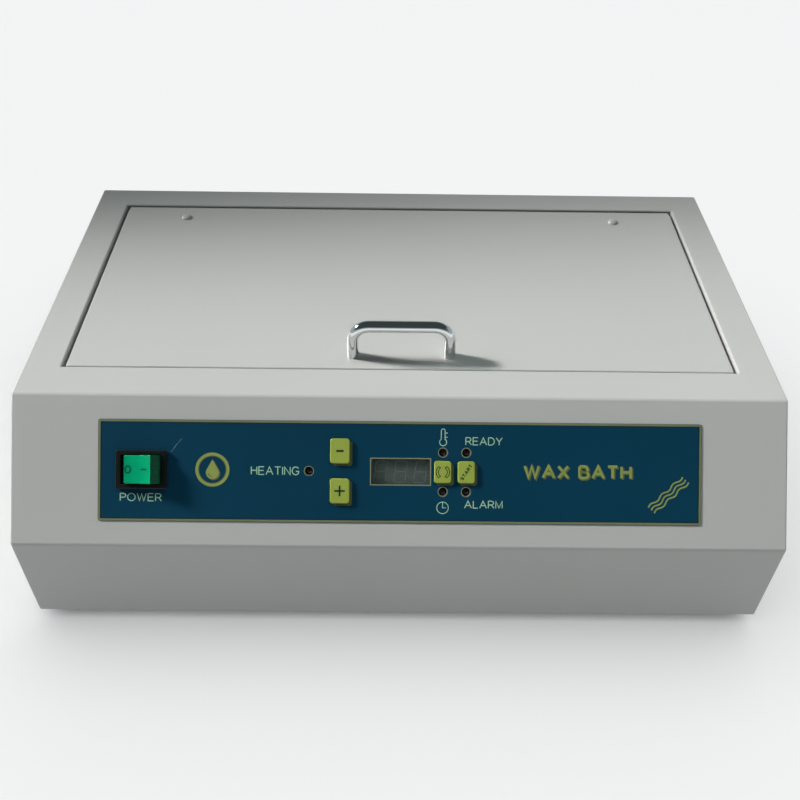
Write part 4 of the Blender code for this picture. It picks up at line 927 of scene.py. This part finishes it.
def make_switch():
    """Housing with its raised bezel, and the green rocker at rest on its off side."""
    at = on_panel(SWITCH_X, CONTROLS_S)
    well = rectangle(ROCKER_END + GAP, ROCKER_HALF_HEIGHT + GAP, SWITCH_CORNER)
    rim = rectangle(BEZEL[0] / 2, BEZEL[1] / 2, BEZEL_CORNER)
    bezel = plate_shape([rim, well], BEZEL_BOTTOM, BEZEL_TOP, BEZEL_ROUNDING)
    outline = rectangle(SWITCH_BODY[0] / 2, SWITCH_BODY[1] / 2, SWITCH_CORNER)
    sleeve = plate_shape([outline, well], SWITCH_FLOOR, 2 * MM)
    back = plate_shape([outline], SWITCH_BACK, SWITCH_FLOOR + 0.05 * MM)
    blade = Vector((0.8, 6.4, 10.4))
    blades = []
    for x, y in ((-7, -5), (7, -5), (-7, 5), (7, 5)):
        low = Vector((x - blade.x / 2, y - blade.y / 2, -33))
        blades.append(box_shape(low * MM, (low + blade) * MM, 0.15 * MM, 1))
    body = placed(merged([bezel, sleeve, back, *blades]), at)
    add_piece("switch_frame", body, BLACK, "bath", ["switch_housing"])

    tilt = at @ Matrix.Translation((0, 0, ROCKER_PIVOT)) @ Matrix.Rotation(-ROCKER_TILT, 4, "Y")
    lowest = math.degrees(math.asin(-3 * MM / ROCKER_END))
    right = arc(ROCKER_END, (0, 0), lowest, ROCKER_EDGE, 10) + [ROCKER_SHOULDER]
    xs = [ROCKER_SHOULDER[0] * (1 - i / 8) for i in range(1, 16)]
    top = [(x, rocker_top(x)[0]) for x in xs]
    outline = right + top + [(-x, z) for x, z in reversed(right)]
    rocker = plate_shape([outline], -ROCKER_HALF_HEIGHT, ROCKER_HALF_HEIGHT, 0.5 * MM, 4)
    rocker = placed(rocker, tilt @ Matrix.Rotation(math.pi / 2, 4, "X"))
    cap = add_piece("rocker_cap", rocker, GREEN, "rocker", ["power_rocker"])
    # The end facets beyond the shoulders take the darker copy of the green: painted shade
    cap.data.materials.append(GREEN_PAINTED_SHADE)
    local = tilt.inverted()
    for face in cap.data.polygons:
        face.material_index = abs((local @ face.center).x) > ROCKER_SHOULDER[0]

    ring, dash = oval((0, 0), 1.75 * MM, 2.15 * MM, 0, 360), [(-2 * MM, 0), (2 * MM, 0)]
    marks = []
    for x, line in zip(ROCKER_MARKS, (ring, dash)):
        height, slope = rocker_top(x)
        over = Matrix.Translation((x, 0, height + 0.08 * MM))
        lie = over @ Matrix.Rotation(-math.atan(slope), 4, "Y")
        marks.append(placed(stroke_shape([line], ROCKER_STROKE, 0), tilt @ lie))
    add_piece("rocker_marks", merged(marks), ROCKER_MARK, "rocker")


def key_symbol(name):
    """The printed symbol of a key, round the key's own centre, and its line width."""
    if name == "key_minus":
        return [[(-2.3 * MM, 0), (2.3 * MM, 0)]], 1.25 * MM
    if name == "key_plus":
        return [[(-3.3 * MM, 0), (3.3 * MM, 0)], [(0, -3.3 * MM), (0, 3.3 * MM)]], 1.1 * MM
    if name == "key_start":
        width, stroke = 11.4 * MM, 0.52 * MM
        low, high = (-width / 2, -1.2 * MM), (width / 2, 1.2 * MM)
        word = word_lines("START", low, high, stroke, TITLE_SPACING)
        turn = Matrix.Rotation(math.radians(56), 2)
        return [[tuple(turn @ Vector(point)) for point in line] for line in word], stroke
    brackets = []
    for side in (-1, 1):
        outer = arc(4.4 * MM, (-0.2 * MM, 0), -52, 52, 14)
        inner = arc(3.3 * MM, (-0.5 * MM, 0), 54, -54, 14)
        brackets.append([(side * x, y) for x, y in [*outer, *inner, outer[0]]])
    return brackets, 0.5 * MM


def make_keys():
    """The keys with their symbols, and the shadows that are printed on the label beside them."""
    for name, (x, s, width, height) in KEYS.items():
        at, body = on_panel(x, s), KEY_BODIES[name]
        outline = rectangle(width / 2, height / 2, KEY_CORNER)
        cap = plate_shape([outline], KEY_BOTTOM, KEY_TOP, KEY_ROUNDING, 5)
        add_piece("cap_" + name[4:], placed(cap, at), KEY_LIME, body, [name])
        symbol = stroke_shape(*key_symbol(name), KEY_TOP + 0.03 * MM)
        add_piece("symbol_" + name[4:], placed(symbol, at), PRINT_DARK, body)
        centre = on_label(x + KEY_SHADOW[0], s + KEY_SHADOW[1])
        shadow = rectangle(width / 2, height / 2, KEY_CORNER, centre)
        add_print("print_shadow_" + name[4:], film_shape([shadow], PRINT_UNDER), PRINT_SHADOW)


def make_lamps():
    low, top = -11 * MM, -0.3 * MM
    rim = low + 1 * MM
    dome = arc(LED_RADIUS, (0, top - LED_RADIUS), 0, 90, 8)
    profile = [(0, low), (LED_BASE, low), (LED_BASE, rim), (LED_RADIUS, rim), *dome]
    for name, (x, s) in LEDS.items():
        lamp = placed(lathe_shape(profile, 32), on_panel(x, s))
        add_piece("lamp_" + name[4:], lamp, LAMP, "bath", [name])


def make_display():
    """The display's face with its three unlit digits, seen through the window."""
    (half_x, half_y), (back, front) = DISPLAY_HALF, DISPLAY_DEPTH
    face = box_shape((-half_x, -half_y, back), (half_x, half_y, front), 0.05 * MM, 1)
    face = placed(face, on_panel(0, CONTROLS_S))
    add_piece("display_face", face, DISPLAY, "bath")
    half_wide, half_tall, bar, gap = 3.6 * MM, 3.35 * MM, 0.55 * MM, 0.35 * MM
    segments = [(False, 0, up) for up in (2, 0, -2)]
    segments += [(True, across, up) for up in (1, -1) for across in (-1, 1)]
    lines = []
    for digit in (-1, 0, 1):
        for upright, across, up in segments:
            cx, cy = across * half_wide, up * half_tall
            length = (half_tall if upright else half_wide) - gap
            step_x, step_y = (0, -length) if upright else (length, 0)
            ends = (cx - step_x, cy - step_y), (cx + step_x, cy + step_y)
            lines.append([(digit * DIGIT_PITCH + x + DIGIT_SLANT * y, y) for x, y in ends])
    digits = placed(stroke_shape(lines, bar, SEGMENT_HEIGHT), on_panel(0, CONTROLS_S))
    add_piece("display_segments", digits, SEGMENT, "bath")


# ---------------------------------------------------------------- underneath


def make_feet():
    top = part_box("foot_front_left")[1].z
    bore, pocket, recess, widest = 2.4 * MM, 4.6 * MM, 3.2 * MM, 10 * MM
    side = [(widest - 0.4 * MM, top), (widest, top - 0.4 * MM), (widest, top - 2 * MM)]
    sole = [(9 * MM, 1 * MM), (8.7 * MM, 0.3 * MM), (8 * MM, 0)]
    inside = [(pocket, 0), (pocket, recess), (bore, recess), (bore, top)]
    profile = [(bore, top), *side, *sole, *inside]
    for place in ("front_left", "front_right", "rear_left", "rear_right"):
        low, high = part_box("foot_" + place)
        at = Matrix.Translation(((low.x + high.x) / 2, (low.y + high.y) / 2, 0))
        foot = placed(lathe_shape(profile), at)
        add_piece("rubber_foot_" + place, foot, RUBBER, "bath", ["foot_" + place])


# ---------------------------------------------------------------- floor, lights and camera


def make_stage():
    """The floor, wide enough to reach the horizon in low views."""
    bm = bmesh.new()
    bmesh.ops.create_grid(bm, x_segments=1, y_segments=1, size=FLOOR_SIZE)
    floor = link("floor", mesh_from(bm))
    floor.data.materials.append(make_material("floor_white", (0.9, 0.9, 0.9), 0.85))
    return floor


def make_world():
    """What the chrome mirrors: a pale horizon under a dark ceiling, which comes lower in front."""
    world = bpy.data.worlds.new("studio")
    world.use_nodes = True
    nodes, links = world.node_tree.nodes, world.node_tree.links
    direction = nodes.new("ShaderNodeTexCoord")
    split = nodes.new("ShaderNodeSeparateXYZ")
    links.new(direction.outputs["Generated"], split.inputs["Vector"])
    mix = nodes.new("ShaderNodeMix")
    mix.data_type = "RGBA"
    for socket, (low, high) in (("A", FRONT_FADE), ("B", REAR_FADE)):
        ramp = add_ramp(nodes, low, HORIZON, high, CEILING)
        links.new(split.outputs["Z"], ramp.inputs["Fac"])
        links.new(ramp.outputs["Color"], mix.inputs[socket])
    depth = nodes.new("ShaderNodeMapRange")
    depth.inputs["From Min"].default_value = FRONT_END
    depth.inputs["From Max"].default_value = REAR_END
    links.new(split.outputs["Y"], depth.inputs["Value"])
    links.new(depth.outputs["Result"], mix.inputs["Factor"])
    links.new(mix.outputs["Result"], nodes["Background"].inputs["Color"])
    bpy.context.scene.world = world


def add_light(name, kind, floor, power, colour, lights_floor=False):
    """A light for everything but the floor, or for the floor alone."""
    data = bpy.data.lights.new(name, kind)
    data.energy = power
    data.color = colour
    light = link(name, data)
    receivers = bpy.data.collections.new(name + "_receivers")
    receivers.objects.link(floor)
    state = "INCLUDE" if lights_floor else "EXCLUDE"
    receivers.collection_objects[0].light_linking.link_state = state
    light.light_linking.receiver_collection = receivers
    return light


def add_card(name, floor, size, power, colour):
    light = add_light(name, "AREA", floor, power, colour)
    light.data.shape = "RECTANGLE"
    light.data.size, light.data.size_y = size
    return light


def add_beam(name, floor, towards, power, spread, colour):
    """A narrow soft box in the direction towards, which leaves the back of the top in half shade."""
    light = add_card(name, floor, BEAM_SIZE, power, colour)
    light.data.spread = math.radians(spread)
    back = Vector(towards).normalized()
    edge = Vector((1, BEAM_EDGE_SLOPE, 0))
    up = (edge - edge.dot(back) * back).normalized()
    target = Vector((0, BEAM_EDGE - BEAM_SIZE[0] / 2, Z_TOP))
    turn = Matrix((up.cross(back), up, back)).transposed().to_4x4()
    light.matrix_world = Matrix.Translation(target + BEAM_REACH * back) @ turn
    return light


def make_lights(floor):
    """A window at the left, a fill at the right, a card in front, and the floor's own light."""
    add_beam("window", floor, towards=(-1.45, 0.36, 1), power=4.1, spread=12, colour=(1, 0.99, 0.97))
    fill = add_beam(
        "fill", floor, towards=(0.45, 0.2, 1), power=0.7, spread=22, colour=(0.84, 1, 0.98)
    )
    card = add_card("card", floor, size=(3, 1.2), power=2.4, colour=(1, 1, 0.98))
    card.location = CARD_PLACE
    aim = Vector(CARD_AIM) - Vector(CARD_PLACE)
    card.rotation_euler = aim.to_track_quat("-Z", "Y").to_euler()
    card.visible_camera = card.visible_glossy = fill.visible_glossy = False
    ceiling = add_light("ceiling", "SUN", floor, power=2.8, colour=(1, 1, 1), lights_floor=True)
    ceiling.data.angle = SUN_ANGLE


def make_camera():
    data = bpy.data.cameras.new("camera")
    data.sensor_width = CAMERA_SENSOR
    data.lens = CAMERA_LENS
    data.shift_x, data.shift_y = CAMERA_SHIFT
    data.clip_start = 0.01
    camera = link("camera", data)
    camera.location = CAMERA_PLACE
    camera.rotation_euler = [math.radians(a) for a in CAMERA_TURN]
    bpy.context.scene.camera = camera
    bpy.context.scene.view_settings.view_transform = "Standard"


dress_cad_nodes()
make_casing()
make_lid()
make_handle()
make_rivets()
make_tank()
make_label()
make_window_print()
make_words()
make_drop_disc()
make_pictograms()
make_switch()
make_keys()
make_lamps()
make_display()
make_feet()
make_world()
make_lights(make_stage())
make_camera()
